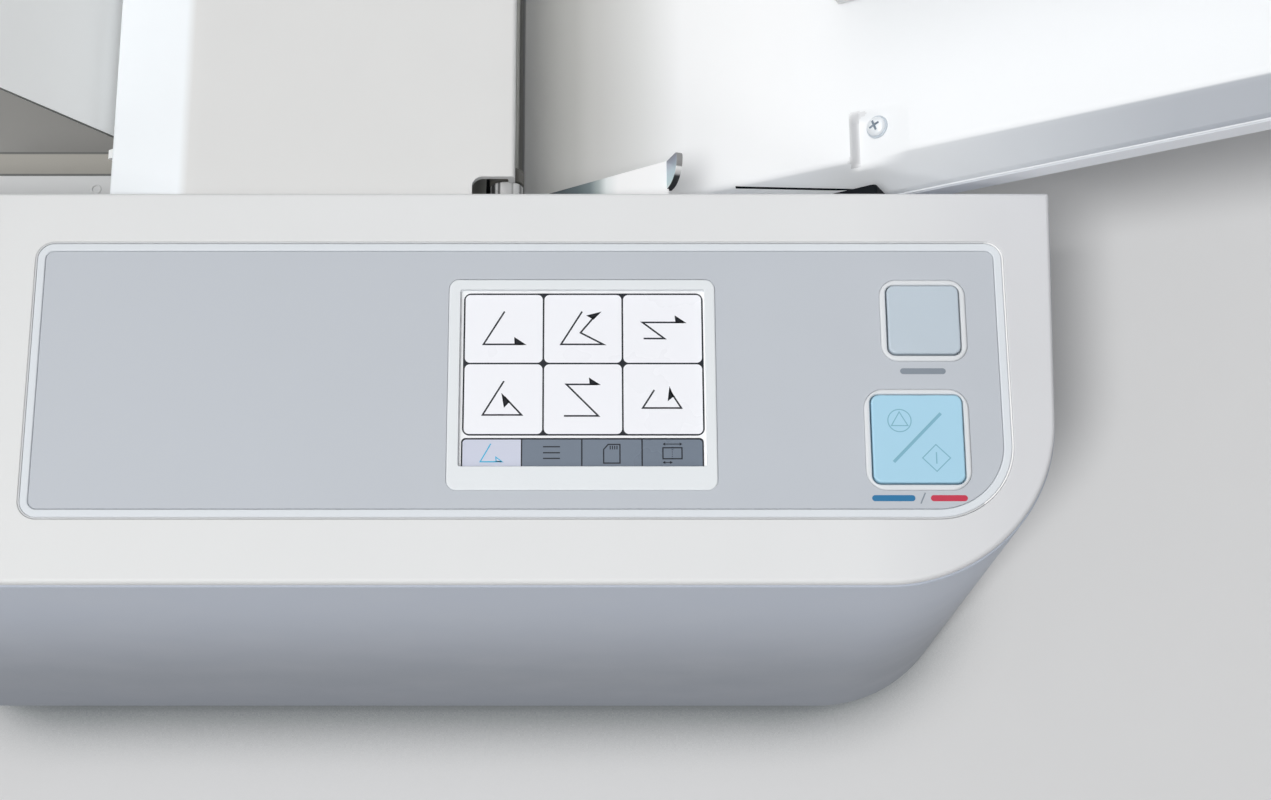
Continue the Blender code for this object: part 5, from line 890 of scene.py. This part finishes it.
# Feed tray
TRAY_LOW, TRAY_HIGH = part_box("feed_tray")
TRAY_LEVEL_Z = 168 * MM
TRAY_SLOPE = 0.574
TRAY_BEND_X = 30.75 * MM
TRAY_BEND_R = 100 * MM
TRAY_SIDE = 13.5 * MM
SHOULDER_R = 3 * MM
SIDE_TILT = math.radians(56)
SHOULDER_REACH = TRAY_SIDE / math.tan(SIDE_TILT) + SHOULDER_R * math.tan(SIDE_TILT / 2)
TRAY_T = 2.6 * MM
SCREWS_X = (113.8 * MM, 330 * MM)
SCREW_INSET = 18.6 * MM
POCKET_DEPTH = 2.6 * MM
POCKET_LEFT = 7.4 * MM
POCKET_RAMP = 3.4 * MM
POCKET_RIGHT = 9.5 * MM
POCKET_REACH = 6.6 * MM
POCKET_END = 4.2 * MM
LIFT_EDGE_X = 79.1 * MM
LIFT_HALF = 61.5 * MM
LIFT_BOSS = scaled([(69, 179.5, 1.5), (79, 179.5, 1.5), (79, 191.5, 1.5), (69, 191.5, 1.5)])
LIFT_BOSS_WIDTH = 4 * MM
STAY_NOTCH = scaled([(18.7, 140, 0.2), (31.3, 140, 0.2), (31.3, 165, 0.2), (18.7, 165, 0.2)])
TRAY_END_R = 3 * MM
SHARP = math.radians(50)
# Which painted shade the left wall of a pocket takes, by how steep it is
SHADE_STEEP = -0.36
SHADE_MIDDLE = -0.24
MIDDLE_Y = (TRAY_LOW.y + TRAY_HIGH.y) / 2
TILT = math.atan(TRAY_SLOPE)


def tray_z(x):
    """Height of the tray's floor: level, then a long bend, then a straight rise."""
    reach = TRAY_BEND_R * math.tan(TILT / 2)
    start = TRAY_BEND_X - reach
    if x <= start:
        return TRAY_LEVEL_Z
    if x < TRAY_BEND_X + reach * math.cos(TILT):
        return TRAY_LEVEL_Z + TRAY_BEND_R - math.sqrt(TRAY_BEND_R ** 2 - (x - start) ** 2)
    return TRAY_LEVEL_Z + TRAY_SLOPE * (x - TRAY_BEND_X)


def spread(start, end, pitch):
    count = max(1, round((end - start) / pitch))
    return [start + (end - start) * index / count for index in range(count)]


def tray_stations():
    """Places along the tray, close together in the bend and at the pockets, the end rounded over."""
    xs = spread(TRAY_LOW.x, 54 * MM, 2.4 * MM) + spread(54 * MM, LIFT_EDGE_X, 6 * MM)
    before = LIFT_EDGE_X
    for screw in SCREWS_X:
        after = min(screw + POCKET_RIGHT + 0.4 * MM, TRAY_HIGH.x - 3.4 * MM)
        xs += spread(before, screw - 8 * MM, 12 * MM) + spread(screw - 8 * MM, after, 0.4 * MM)
        before = after
    end = TRAY_HIGH.x
    xs += spread(before, end - TRAY_END_R, 12 * MM)
    stations = [(x, tray_z(x)) for x in xs]
    for angle in quarter(6):
        x = end - TRAY_END_R * (1 - math.sin(angle))
        stations.append((x, tray_z(x) - TRAY_END_R * (1 - math.cos(angle))))
    return stations


def tray_columns():
    """Places across the tray: (y, drop below the floor), from the front rim to the rear rim."""
    half = [(0.0, TRAY_SIDE + 0.2 * MM), (0.0, TRAY_SIDE - 0.3 * MM)]
    for step in range(11):
        angle = SIDE_TILT * (1 - step / 10)
        half.append((SHOULDER_REACH - SHOULDER_R * math.sin(angle), SHOULDER_R * (1 - math.cos(angle))))
    foot = half[1]
    first = half[2]
    slope = [(foot[0] + (first[0] - foot[0]) * step / 8, foot[1] + (first[1] - foot[1]) * step / 8)
             for step in range(1, 8)]
    half = half[:2] + slope + half[2:]
    half += [(y, 0.0) for y in spread(SHOULDER_REACH + 0.4 * MM, SCREW_INSET + 8 * MM, 0.4 * MM)]
    front = [(TRAY_LOW.y + y, drop) for y, drop in half]
    rear = [(TRAY_HIGH.y - y, drop) for y, drop in reversed(half)]
    start = TRAY_LOW.y + SCREW_INSET + 8 * MM
    mouth = MIDDLE_Y - LIFT_HALF
    middle = spread(start, mouth, 12 * MM) + spread(mouth, MIDDLE_Y + LIFT_HALF, 12 * MM)
    middle += spread(MIDDLE_Y + LIFT_HALF, TRAY_HIGH.y - SCREW_INSET - 8 * MM, 12 * MM)
    return front + [(y, 0.0) for y in middle] + [(TRAY_HIGH.y - SCREW_INSET - 8 * MM, 0.0)] + rear


def eased(value):
    value = min(max(value, 0.0), 1.0)
    return value * value * (3 - 2 * value)


def pocket_share(x, y):
    """How far a place is sunk by a screw's pocket: a short wall down on its left, then a long ramp back."""
    best = 0.0
    inward = min(y - TRAY_LOW.y, TRAY_HIGH.y - y) - SCREW_INSET
    end = eased((POCKET_REACH - inward) / POCKET_END)
    for screw in SCREWS_X:
        across = x - screw
        down = eased((across + POCKET_LEFT) / POCKET_RAMP)
        back = min(max((POCKET_RIGHT - across) / (POCKET_RIGHT + POCKET_LEFT - POCKET_RAMP), 0.0), 1.0)
        best = max(best, down * back * end)
    return best


def build_tray():
    stations = tray_stations()
    columns = tray_columns()
    vertices = []
    for x, z in stations:
        for y, drop in columns:
            share = pocket_share(x, y)
            sunk = max(POCKET_DEPTH / math.cos(TILT) - drop, 0.0) * share
            vertices.append((x, y, z - drop - sunk))
    count = len(columns)
    faces = []
    for row in range(len(stations) - 1):
        for column in range(count - 1):
            x = (stations[row][0] + stations[row + 1][0]) / 2
            y = (columns[column][0] + columns[column + 1][0]) / 2
            if x < LIFT_EDGE_X and abs(y - MIDDLE_Y) < LIFT_HALF:
                continue
            first = row * count + column
            faces.append((first, first + count, first + count + 1, first + 1))
    last = (len(stations) - 1) * count
    for column in range(count // 2 - 1):
        a, b = last + column, last + count - 1 - column
        faces.append((a, b, b - 1, a + 1))
    tray = shaped("tray_top", vertices, faces, TRAY_PAINTED_LIGHT)
    tray.data.shade_smooth()
    thick = tray.modifiers.new("thick", "SOLIDIFY")
    thick.thickness = TRAY_T
    thick.offset = -1.0
    apply_all(tray)
    low, high = -TRAY_HIGH.y - 5 * MM, -TRAY_LOW.y + 5 * MM
    carve(tray, plain("stay_notch", STAY_NOTCH, low, high, TRAY_PAINTED_LIGHT, axis="y"))
    tray.data.set_sharp_from_angle(angle=SHARP)
    # The left walls of the screw pockets get painted shade, darker where steeper.
    for surface in TRAY_PAINTED_SHADES:
        tray.data.materials.append(surface)
    for face in tray.data.polygons:
        near = any(-9 * MM < face.center.x - screw < -2 * MM for screw in SCREWS_X)
        way = face.normal
        if near and way.z > 0.6 and way.x > -0.44:
            face.material_index = 1 if way.x < SHADE_STEEP else 2 if way.x < SHADE_MIDDLE else 3
    own(tray, "machine", "white_plastic", "feed_tray")
    for name, side in SIDES:
        inner = MIDDLE_Y - side * LIFT_HALF
        outer = MIDDLE_Y - side * (LIFT_HALF + LIFT_BOSS_WIDTH)
        piece(f"tray_boss_{name}", LIFT_BOSS, rise(*y_levels(inner, outer), 0.3, 0.3), TRAY_PAINTED_LIGHT,
              "white_plastic", axis="y")


# A pan head in millimetres: its straight rim, then a dome; a cross of two bars is cut from the top
HEAD_RADIUS = 3.05
HEAD_RIM = 1.0
DOME_HEIGHT = 1.25
DOME_REACH = 2.1
CROSS_BAR = scaled([(-1.75, -0.36, 0.12), (1.75, -0.36, 0.12), (1.75, 0.36, 0.12), (-1.75, 0.36, 0.12)])
CROSS_FLOOR = 1.35
CROSS_TURN = 0.35
WASHER_RADIUS = 3.6 * MM
WASHER_BORE = 1.6 * MM
WASHER_T = 0.6 * MM


def build_head(name, seat):
    """A pan head with a cross recess, standing on its seat."""
    levels = [(0.0, 0.0), (HEAD_RIM * MM, 0.0)]
    for angle in quarter(8, 1):
        levels.append(((HEAD_RIM + DOME_HEIGHT * math.sin(angle)) * MM,
                       DOME_REACH * (1 - math.cos(angle)) * MM))
    head = solid(name, round_corners(0, 0, HEAD_RADIUS * MM), levels, SCREW)
    bars = []
    for turn in (CROSS_TURN, CROSS_TURN + math.pi / 2):
        bar = plain("cross_bar", CROSS_BAR, CROSS_FLOOR * MM, 3.0 * MM, SCREW)
        bar.rotation_euler = (0, 0, turn)
        bars.append(bar)
    bpy.context.view_layer.update()
    carve(head, *bars)
    # The cross recess's faces take painted shade.
    head.data.materials.append(RECESS_PAINTED_SHADE)
    for face in head.data.polygons:
        if face.center.xy.length < 2 * MM and (face.center.z < 1.4 * MM or abs(face.normal.z) < 0.2):
            face.material_index = 1
    head.data.transform(seat)
    head.data.set_sharp_from_angle(angle=math.radians(35))
    own(head, "machine", "bright_pin")


def build_housing_screws():
    """Screws in the ends of both housings."""
    for node, y in (("operator_housing", -165 * MM), ("drive_housing", 245 * MM)):
        low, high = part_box(node)
        sides = [("left", low.x, -1)] + ([("right", high.x, 1)] if node == "drive_housing" else [])
        for side, x, way in sides:
            for index, z in enumerate((45 * MM, 175 * MM)):
                turned = Matrix.Rotation(way * math.pi / 2, 4, "Y")
                seat = Matrix.Translation((x - way * 0.6 * MM, y, z)) @ turned
                build_head(f"{node}_screw_{side}_{index + 1}", seat)


VENT_FIELDS = {"motor": (30, 105, 115, 165), "supply": (-125, -60, 125, 165)}
VENT_PITCH = 6.0
VENT_HEIGHT = 2.4


def build_vents():
    """Rows of round-ended slots in the drive housing's rear wall, drawn as dark slabs of painted shade."""
    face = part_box("drive_housing")[1].y
    for name, (x0, x1, z0, z1) in VENT_FIELDS.items():
        slots = []
        for index in range(int((z1 - z0) / VENT_PITCH) + 1):
            z = z0 + index * VENT_PITCH
            corners = box_corners(x0 * MM, z * MM, x1 * MM, (z + VENT_HEIGHT) * MM,
                                  VENT_HEIGHT / 2 * 0.999 * MM)
            levels = rise(-face - 0.03 * MM, -face + 1.5 * MM, 0.0)
            slots.append(solid(f"vent_{name}", corners, levels, VENT_PAINTED_SHADE, axis="y"))
        with bpy.context.temp_override(active_object=slots[0], selected_editable_objects=slots):
            bpy.ops.object.join()
        own(slots[0], "machine", "dark_plastic")


def build_screw(name, x, y):
    """A pan head screw with a cross recess and a washer, standing on a pocket's floor."""
    depth = POCKET_DEPTH * pocket_share(x, y) - 0.1 * MM
    ramp = POCKET_RIGHT + POCKET_LEFT - POCKET_RAMP
    turned = TILT + math.atan(POCKET_DEPTH / ramp) * 0.8
    seat = Matrix.Translation((x, y, tray_z(x))) @ Matrix.Rotation(-turned, 4, "Y") @ Matrix.Translation(
        (0, 0, -depth))
    bore = (round_corners(0, 0, WASHER_BORE), sink(WASHER_T, 0.0, 0.1))
    piece(f"{name}_washer", round_corners(0, 0, WASHER_RADIUS), rise(0.0, WASHER_T, 0.15), WASHER,
          "zinc_steel", holes=[bore], matrix=seat)
    build_head(f"{name}_head", seat)


FOOT_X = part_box("feed_tray_base")[0].x + 0.3 * MM
CLIP_OUTLINE = scaled([(91, 203, 0.5), (120.4, 203, 0.5), (113.2, 217.2, 1.2), (111.4, 216.2, 2)])
CLIP_Y = (146.3 * MM, 149.6 * MM)
# The slot on the tray's sloped side, drawn as a dark strip of painted shade: places along it and inward of
# the rim, in millimetres
SLOT_LINE = ((73.0, 8.5), (90.9, 5.6), (108.2, 2.8))
LIP_DROP = 0.25 * MM
LIP_HEIGHT = 0.45 * MM


def side_drop(inward):
    """How far the tray's sloped side lies below its floor, some way in from the rim."""
    return TRAY_SIDE - inward * math.tan(SIDE_TILT)


def strip(name, line, out, half_width, height, surface):
    """A thin flat strip lying along a line on a surface whose outward way is known."""
    vertices = []
    for index, point in enumerate(line):
        way = (line[min(index + 1, len(line) - 1)] - line[max(index - 1, 0)]).normalized()
        aside = way.cross(out).normalized() * half_width
        top = out.normalized() * height
        vertices += [point - aside - top, point + aside - top, point + aside + top, point - aside + top]
    faces = [(3, 2, 1, 0), tuple(len(vertices) - 4 + step for step in range(4))]
    for row in range(len(line) - 1):
        for step in range(4):
            first = row * 4 + step
            other = row * 4 + (step + 1) % 4
            faces.append((first, other, other + 4, first + 4))
    return own(shaped(name, vertices, faces, surface), "machine", "dark_plastic")


def build_tray_details():
    for index, x in enumerate(SCREWS_X):
        for side, y in (("front", TRAY_LOW.y + SCREW_INSET), ("rear", TRAY_HIGH.y - SCREW_INSET)):
            build_screw(f"tray_screw_{side}_{index + 1}", x, y)
    piece("tray_clip", CLIP_OUTLINE, rise(*CLIP_Y, 0.4, 0.5), CLIP_AND_SLOT_SHADE, "dark_plastic", axis="y")
    for name, side in SIDES:
        edge = TRAY_LOW.y if side > 0 else TRAY_HIGH.y
        line = []
        for x, inward in SLOT_LINE:
            z = tray_z(x * MM) - side_drop(inward * MM)
            line.append(Vector((x * MM, edge + side * inward * MM, z)))
        out = Vector((0.0, -side * math.sin(SIDE_TILT), math.cos(SIDE_TILT)))
        # The slot is a dark strip of painted shade laid on the sloped side.
        strip(f"tray_slot_{name}", line, out, 0.36 * MM, 0.12 * MM, CLIP_AND_SLOT_SHADE)
        lip = [(x, tray_z(x) - TRAY_SIDE - LIP_DROP) for x in (FOOT_X, TRAY_HIGH.x - 0.6 * MM)]
        corners = [(x, z, 0.05 * MM) for x, z in lip]
        corners += [(x, z + LIP_HEIGHT, 0.15 * MM) for x, z in reversed(lip)]
        levels = rise(*y_levels(edge - side * 0.55 * MM, edge + side * 0.3 * MM), 0.15, 0.15)
        piece(f"tray_lip_{name}", corners, levels, LIP, "white_plastic", axis="y")


# Feed lever: web, plate, turned up tab
LEVER_LOW, LEVER_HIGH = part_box("feed_lever")
LEVER_BEND_X = 51.5 * MM
LEVER_REAR_Y = LEVER_HIGH.y
LEVER_TOP = 208 * MM
LEVER_T = 2 * MM
LEVER_WEB = scaled([(-20, 188, 5), (-12, 190.4, 3), (51.5, 200, 1.5), (51.5, 208, 0.3), (12.3, 208, 1),
                    (-20, 204, 4), (-25.6, 201.6, 3), (-28, 196, 3), (-25.6, 190.4, 3)])
LEVER_PIVOT = (-20 * MM, 196 * MM)
LEVER_BORE = 3.3 * MM
PLATE_LEFT = 12.3 * MM
TAB_WIDTH = 9.5 * MM
TAB_HEIGHT = 8.5 * MM
TAB_ROUND = 7.5 * MM
TAB_SUNK = 0.8 * MM
TAB_LEAN = math.radians(-70)


def build_lever():
    front = -LEVER_LOW.y
    bore = (round_corners(*LEVER_PIVOT, LEVER_BORE), sink(front, front - LEVER_T, 0.2, 0.2))
    piece("lever_web", LEVER_WEB, rise(front - LEVER_T, front, 0.3, 0.3), ZINC, "zinc_steel",
          "feed_lever", body="feed_lever", axis="y", holes=[bore])
    plate = [(PLATE_LEFT, LEVER_LOW.y, 0.4 * MM), (LEVER_BEND_X, LEVER_LOW.y, 0.4 * MM),
             (LEVER_BEND_X, LEVER_REAR_Y, 0.3 * MM), (PLATE_LEFT, -146.6 * MM, 0.6 * MM)]
    piece("lever_plate", plate, rise(LEVER_TOP - LEVER_T, LEVER_TOP, 0.18, 0.18), LEVER_PAINTED_LIGHT,
          "zinc_steel", "feed_lever", body="feed_lever")
    rear = LEVER_REAR_Y - 0.3 * MM
    front = LEVER_REAR_Y - TAB_WIDTH
    outline = [(-TAB_SUNK, front, 0.2 * MM), (TAB_HEIGHT, front, TAB_ROUND), (TAB_HEIGHT, rear, 1.2 * MM),
               (-TAB_SUNK, rear, 0.2 * MM)]
    place = Matrix.Translation((LEVER_BEND_X - TAB_SUNK, 0, LEVER_TOP - 0.3 * MM))
    seat = place @ Matrix.Rotation(TAB_LEAN, 4, "Y")
    tab = solid("lever_tab", outline, rise(-LEVER_T, 0.0, 0.2, 0.2), TAB_FACE_PAINTED_REFLECTION, matrix=seat)
    # The tab's edges and back take the painted highlights and reflections of its edge; its inner face keeps
    # its own painted reflections.
    tab.data.materials.append(TAB_EDGE_PAINTED_REFLECTION)
    inner = seat.to_3x3() @ Vector((0, 0, 1))
    for face in tab.data.polygons:
        if face.normal.dot(inner) < 0.9:
            face.material_index = 1
    own(tab, "feed_lever", "zinc_steel", "feed_lever")


# Thin dark strips of painted shade and a boss on the exit side covers, and a strip of painted shade on the
# fold plate's edge
FOLD_HALF = 149 * MM
FOLD_WAY = Vector((-0.6018, 0, 0.7986))
FOLD_UP = Vector((0.7986, 0, 0.6018))
FOLD_FOOT = (-96.5 * MM, 167 * MM)
# Distances from the fold plate's foot along its edge, in millimetres
FOLD_MARKS = (3, 150, 300)
EXIT_STEP = 19.5 * MM
EXIT_LOW = 160 * MM
EXIT_HIGH = 190 * MM
BOSS_X = -127.1 * MM
BOSS_INSET = 14.1 * MM
BOSS_TOP = 190.25 * MM


def build_exit_details():
    for name, side in SIDES:
        low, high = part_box(f"exit_side_cover_{name}")
        inner, outer = (high.y, low.y) if side > 0 else (low.y, high.y)
        step = outer + side * EXIT_STEP
        # Dark strips of painted shade at the lower ledge's inner edge and at the upper ledge's step
        for part, edge, z in (("low", inner, EXIT_LOW), ("high", step, EXIT_HIGH)):
            ends = sorted((edge - side * 0.15 * MM, edge - side * 0.9 * MM))
            seam = box_corners(low.x + 0.5 * MM, ends[0], high.x - 0.5 * MM, ends[1], 0.2 * MM)
            levels = rise(z - 0.3 * MM, z + 0.08 * MM, 0.05)
            piece(f"exit_seam_{part}_{name}", seam, levels, SEAM_PAINTED_SHADE, "dark_plastic")
        boss = (BOSS_X, outer + side * BOSS_INSET)
        hollow = (round_corners(*boss, 1.1 * MM), sink(BOSS_TOP, 189.95 * MM, 0.15))
        piece(f"exit_boss_{name}", round_corners(*boss, 1.7 * MM), rise(189.9 * MM, BOSS_TOP, 0.25),
              EXIT_PAINTED_SHADE, "white_plastic", holes=[hollow])
        # A dark strip of painted shade along the fold sheet's edge
        sheet_edge = MIDDLE_Y - side * FOLD_HALF - side * 0.05 * MM
        start = Vector((FOLD_FOOT[0], sheet_edge, FOLD_FOOT[1])) + FOLD_UP * 2.75 * MM
        line = [start + FOLD_WAY * mark * MM for mark in FOLD_MARKS]
        strip(f"fold_edge_{name}", line, Vector((0, -side, 0)), 0.45 * MM, 0.06 * MM, SEAM_PAINTED_SHADE)


# Pieces that keep their plain shape and get softer edges
FINISHES = (
    (DARK_SHEET, 0.4, "base_pan"),
    (RUBBER, 0.6, "foot_front_left", "foot_front_right", "foot_rear_left", "foot_rear_right"),
    (STEEL, 0.25, "operator_side_frame", "drive_side_frame", "motor_pulley"),
    (BOARD, 0.15, "control_board"),
    (GREY, 0.5, "drive_housing"),
    (WHITE, 1.0, "drive_cover"),
    (DARK, 0.3, "power_inlet"),
    (DARK, 0.5, "power_switch"),
    (SUPPLY, 0.4, "power_supply"),
    (RUBBER, 0.3, "fold_roller_1", "fold_roller_2", "fold_roller_3", "fold_roller_4", "feed_roller",
     "stacker_wheels"),
    (STEEL, 0.15, "fold_gear_1", "fold_gear_2", "fold_gear_3", "fold_gear_4"),
    (MOTOR, 0.5, "drive_motor"),
    (BELT, 0.2, "main_belt", "feed_belt", "delivery_belt"),
    (DARK_SHEET, 0.25, "gate_plate"),
    (PAD, 0.2, "separator_pad"),
    (PALE_GREY, 0.5, "feed_tray_base"),
    (SHEET, 0.3, "lift_plate", "delivery_bed"),
    (WHITE, 0.5, "side_guide_front", "side_guide_rear"),
    (FOLD_SHEET_PAINTED_LIGHT, 0.25, "fold_plate_1"),
    (SHEET, 0.25, "fold_plate_2"),
    (DARK, 0.4, "fold_plate_1_stop", "fold_plate_2_stop", "stacker_carriage"),
    (STEEL, 0.3, "conveyor_drive_roller", "conveyor_idle_roller"),
    (FABRIC, 0.15, "conveyor_belt"),
    (EXIT_PAINTED_SHADE, 0.6, "exit_side_cover_front", "exit_side_cover_rear"),
)


def finish_nodes():
    for surface, edge, *names in FINISHES:
        for name in names:
            node = NODES[name]
            node.data.materials.clear()
            node.data.materials.append(surface)
            node.modifiers.new("weld", "WELD").merge_threshold = 0.00001
            flat = node.modifiers.new("flat", "DECIMATE")
            flat.decimate_type = "DISSOLVE"
            flat.angle_limit = math.radians(0.6)
            bevelled(node, edge * MM, 2)


build_cover()
build_hinge_pins()
build_tray()
build_tray_details()
build_housing_screws()
build_vents()
build_lever()
build_exit_details()
finish_nodes()


# Floor, light, camera
FLOOR_ALBEDO = 0.742
FLOOR_GLOW = 0.079
FLOOR_PAINTED_SHADE_SHARES = ((0.5, 0.36), (0.8, 0.94), (0.87, 0.97), (1.0, 1.0))
AMBIENT = 0.22
LEFT = 0.95
LEFT_WAY = (-0.5, 0.35, 0.79)
SUN = 1.6
SUN_WAY = (-0.28, -0.36, 1.0)
FILL = 0.7
FILL_PLACE = (-0.05, -0.75, 0.62)
FILL_AIM = (0.0, -0.27, 0.15)


def floor_surface():
    """A pale matt sweep with a weak glow; painted shade, a little cool, darkens its colour and glow only
    close to the machine's foot.
    """
    def painted_foot_shade(graph, tint):
        near = graph.add("AmbientOcclusion", "AO", {"Distance": 0.034}, samples=8)
        far = graph.add("AmbientOcclusion", "AO", {"Distance": 0.25}, samples=16)
        # Painted shade: darker and a little cooler where ambient occlusion closes in
        stops = []
        for at, light in FLOOR_PAINTED_SHADE_SHARES:
            cool = 0.05 * (1 - light)
            stops.append((at, (light - cool, light, light + cool * 0.6, 1.0)))
        under = {0: graph.ramp(near, stops), "Scale": graph.span(far, 0.2, 0.55, 0.3, 1.0)}
        both = graph.add("VectorMath", inputs=under, operation="SCALE")
        glow = graph.add("Math", inputs={0: both, 1: FLOOR_GLOW}, operation="MULTIPLY")
        graph.shade(Specular_IOR_Level=0.1, Emission_Color=(0.985, 0.99, 1.0, 1.0), Emission_Strength=glow)
        return graph.add("VectorMath", inputs={0: tint, 1: both}, operation="MULTIPLY")

    base = (FLOOR_ALBEDO, FLOOR_ALBEDO, FLOOR_ALBEDO, 1.0)
    return material("floor", base, 0.9, grain=120, depth=0.02, cloud=0.004, after=painted_foot_shade)


def build_world():
    """Even light from all round."""
    world = bpy.data.worlds.new("soft_room")
    world.use_nodes = True
    back = world.node_tree.nodes["Background"]
    back.inputs["Color"].default_value = (0.985, 0.992, 1.0, 1.0)
    back.inputs["Strength"].default_value = AMBIENT
    bpy.context.scene.world = world


def aim(item, way):
    item.rotation_euler = Vector(way).to_track_quat("Z", "Y").to_euler()


def build_sun(name, energy, angle, way):
    sun = bpy.data.lights.new(name, "SUN")
    sun.energy = energy
    sun.angle = math.radians(angle)
    item = placed(name, sun)
    aim(item, way)
    return item


def light_reach(lamp, item, state):
    """Let a lamp light one thing only, or all but that thing."""
    group = bpy.data.collections.new(f"{lamp.name}_reach")
    group.objects.link(item)
    lamp.light_linking.receiver_collection = group
    group.collection_objects[0].light_linking.link_state = state


def build_stage():
    reach = 4.0
    corners = [(-reach, -reach, 0), (reach, -reach, 0), (reach, reach, 0), (-reach, reach, 0)]
    floor = shaped("floor", corners, [(0, 1, 2, 3)], floor_surface())
    build_world()
    light_reach(build_sun("floor_sun", SUN, 7, SUN_WAY), floor, "INCLUDE")
    light_reach(build_sun("overhead", SUN, 24, SUN_WAY), floor, "EXCLUDE")
    light_reach(build_sun("left_glow", LEFT, 60, LEFT_WAY), floor, "EXCLUDE")
    fill = bpy.data.lights.new("front_fill", "AREA")
    fill.shape = "RECTANGLE"
    fill.size = 0.8
    fill.size_y = 0.2
    fill.energy = FILL
    item = placed("front_fill", fill)
    item.location = FILL_PLACE
    aim(item, Vector(FILL_PLACE) - Vector(FILL_AIM))


def build_camera():
    camera = bpy.data.cameras.new("camera")
    camera.lens = 63.7
    camera.sensor_width = 36
    camera.shift_x = 0.0421
    item = placed("camera", camera)
    item.location = (0.025, -0.4092, 0.8425)
    item.rotation_euler = (math.radians(17.3), 0, 0)
    bpy.context.scene.camera = item
    bpy.context.scene.view_settings.view_transform = "Standard"


build_stage()
build_camera()
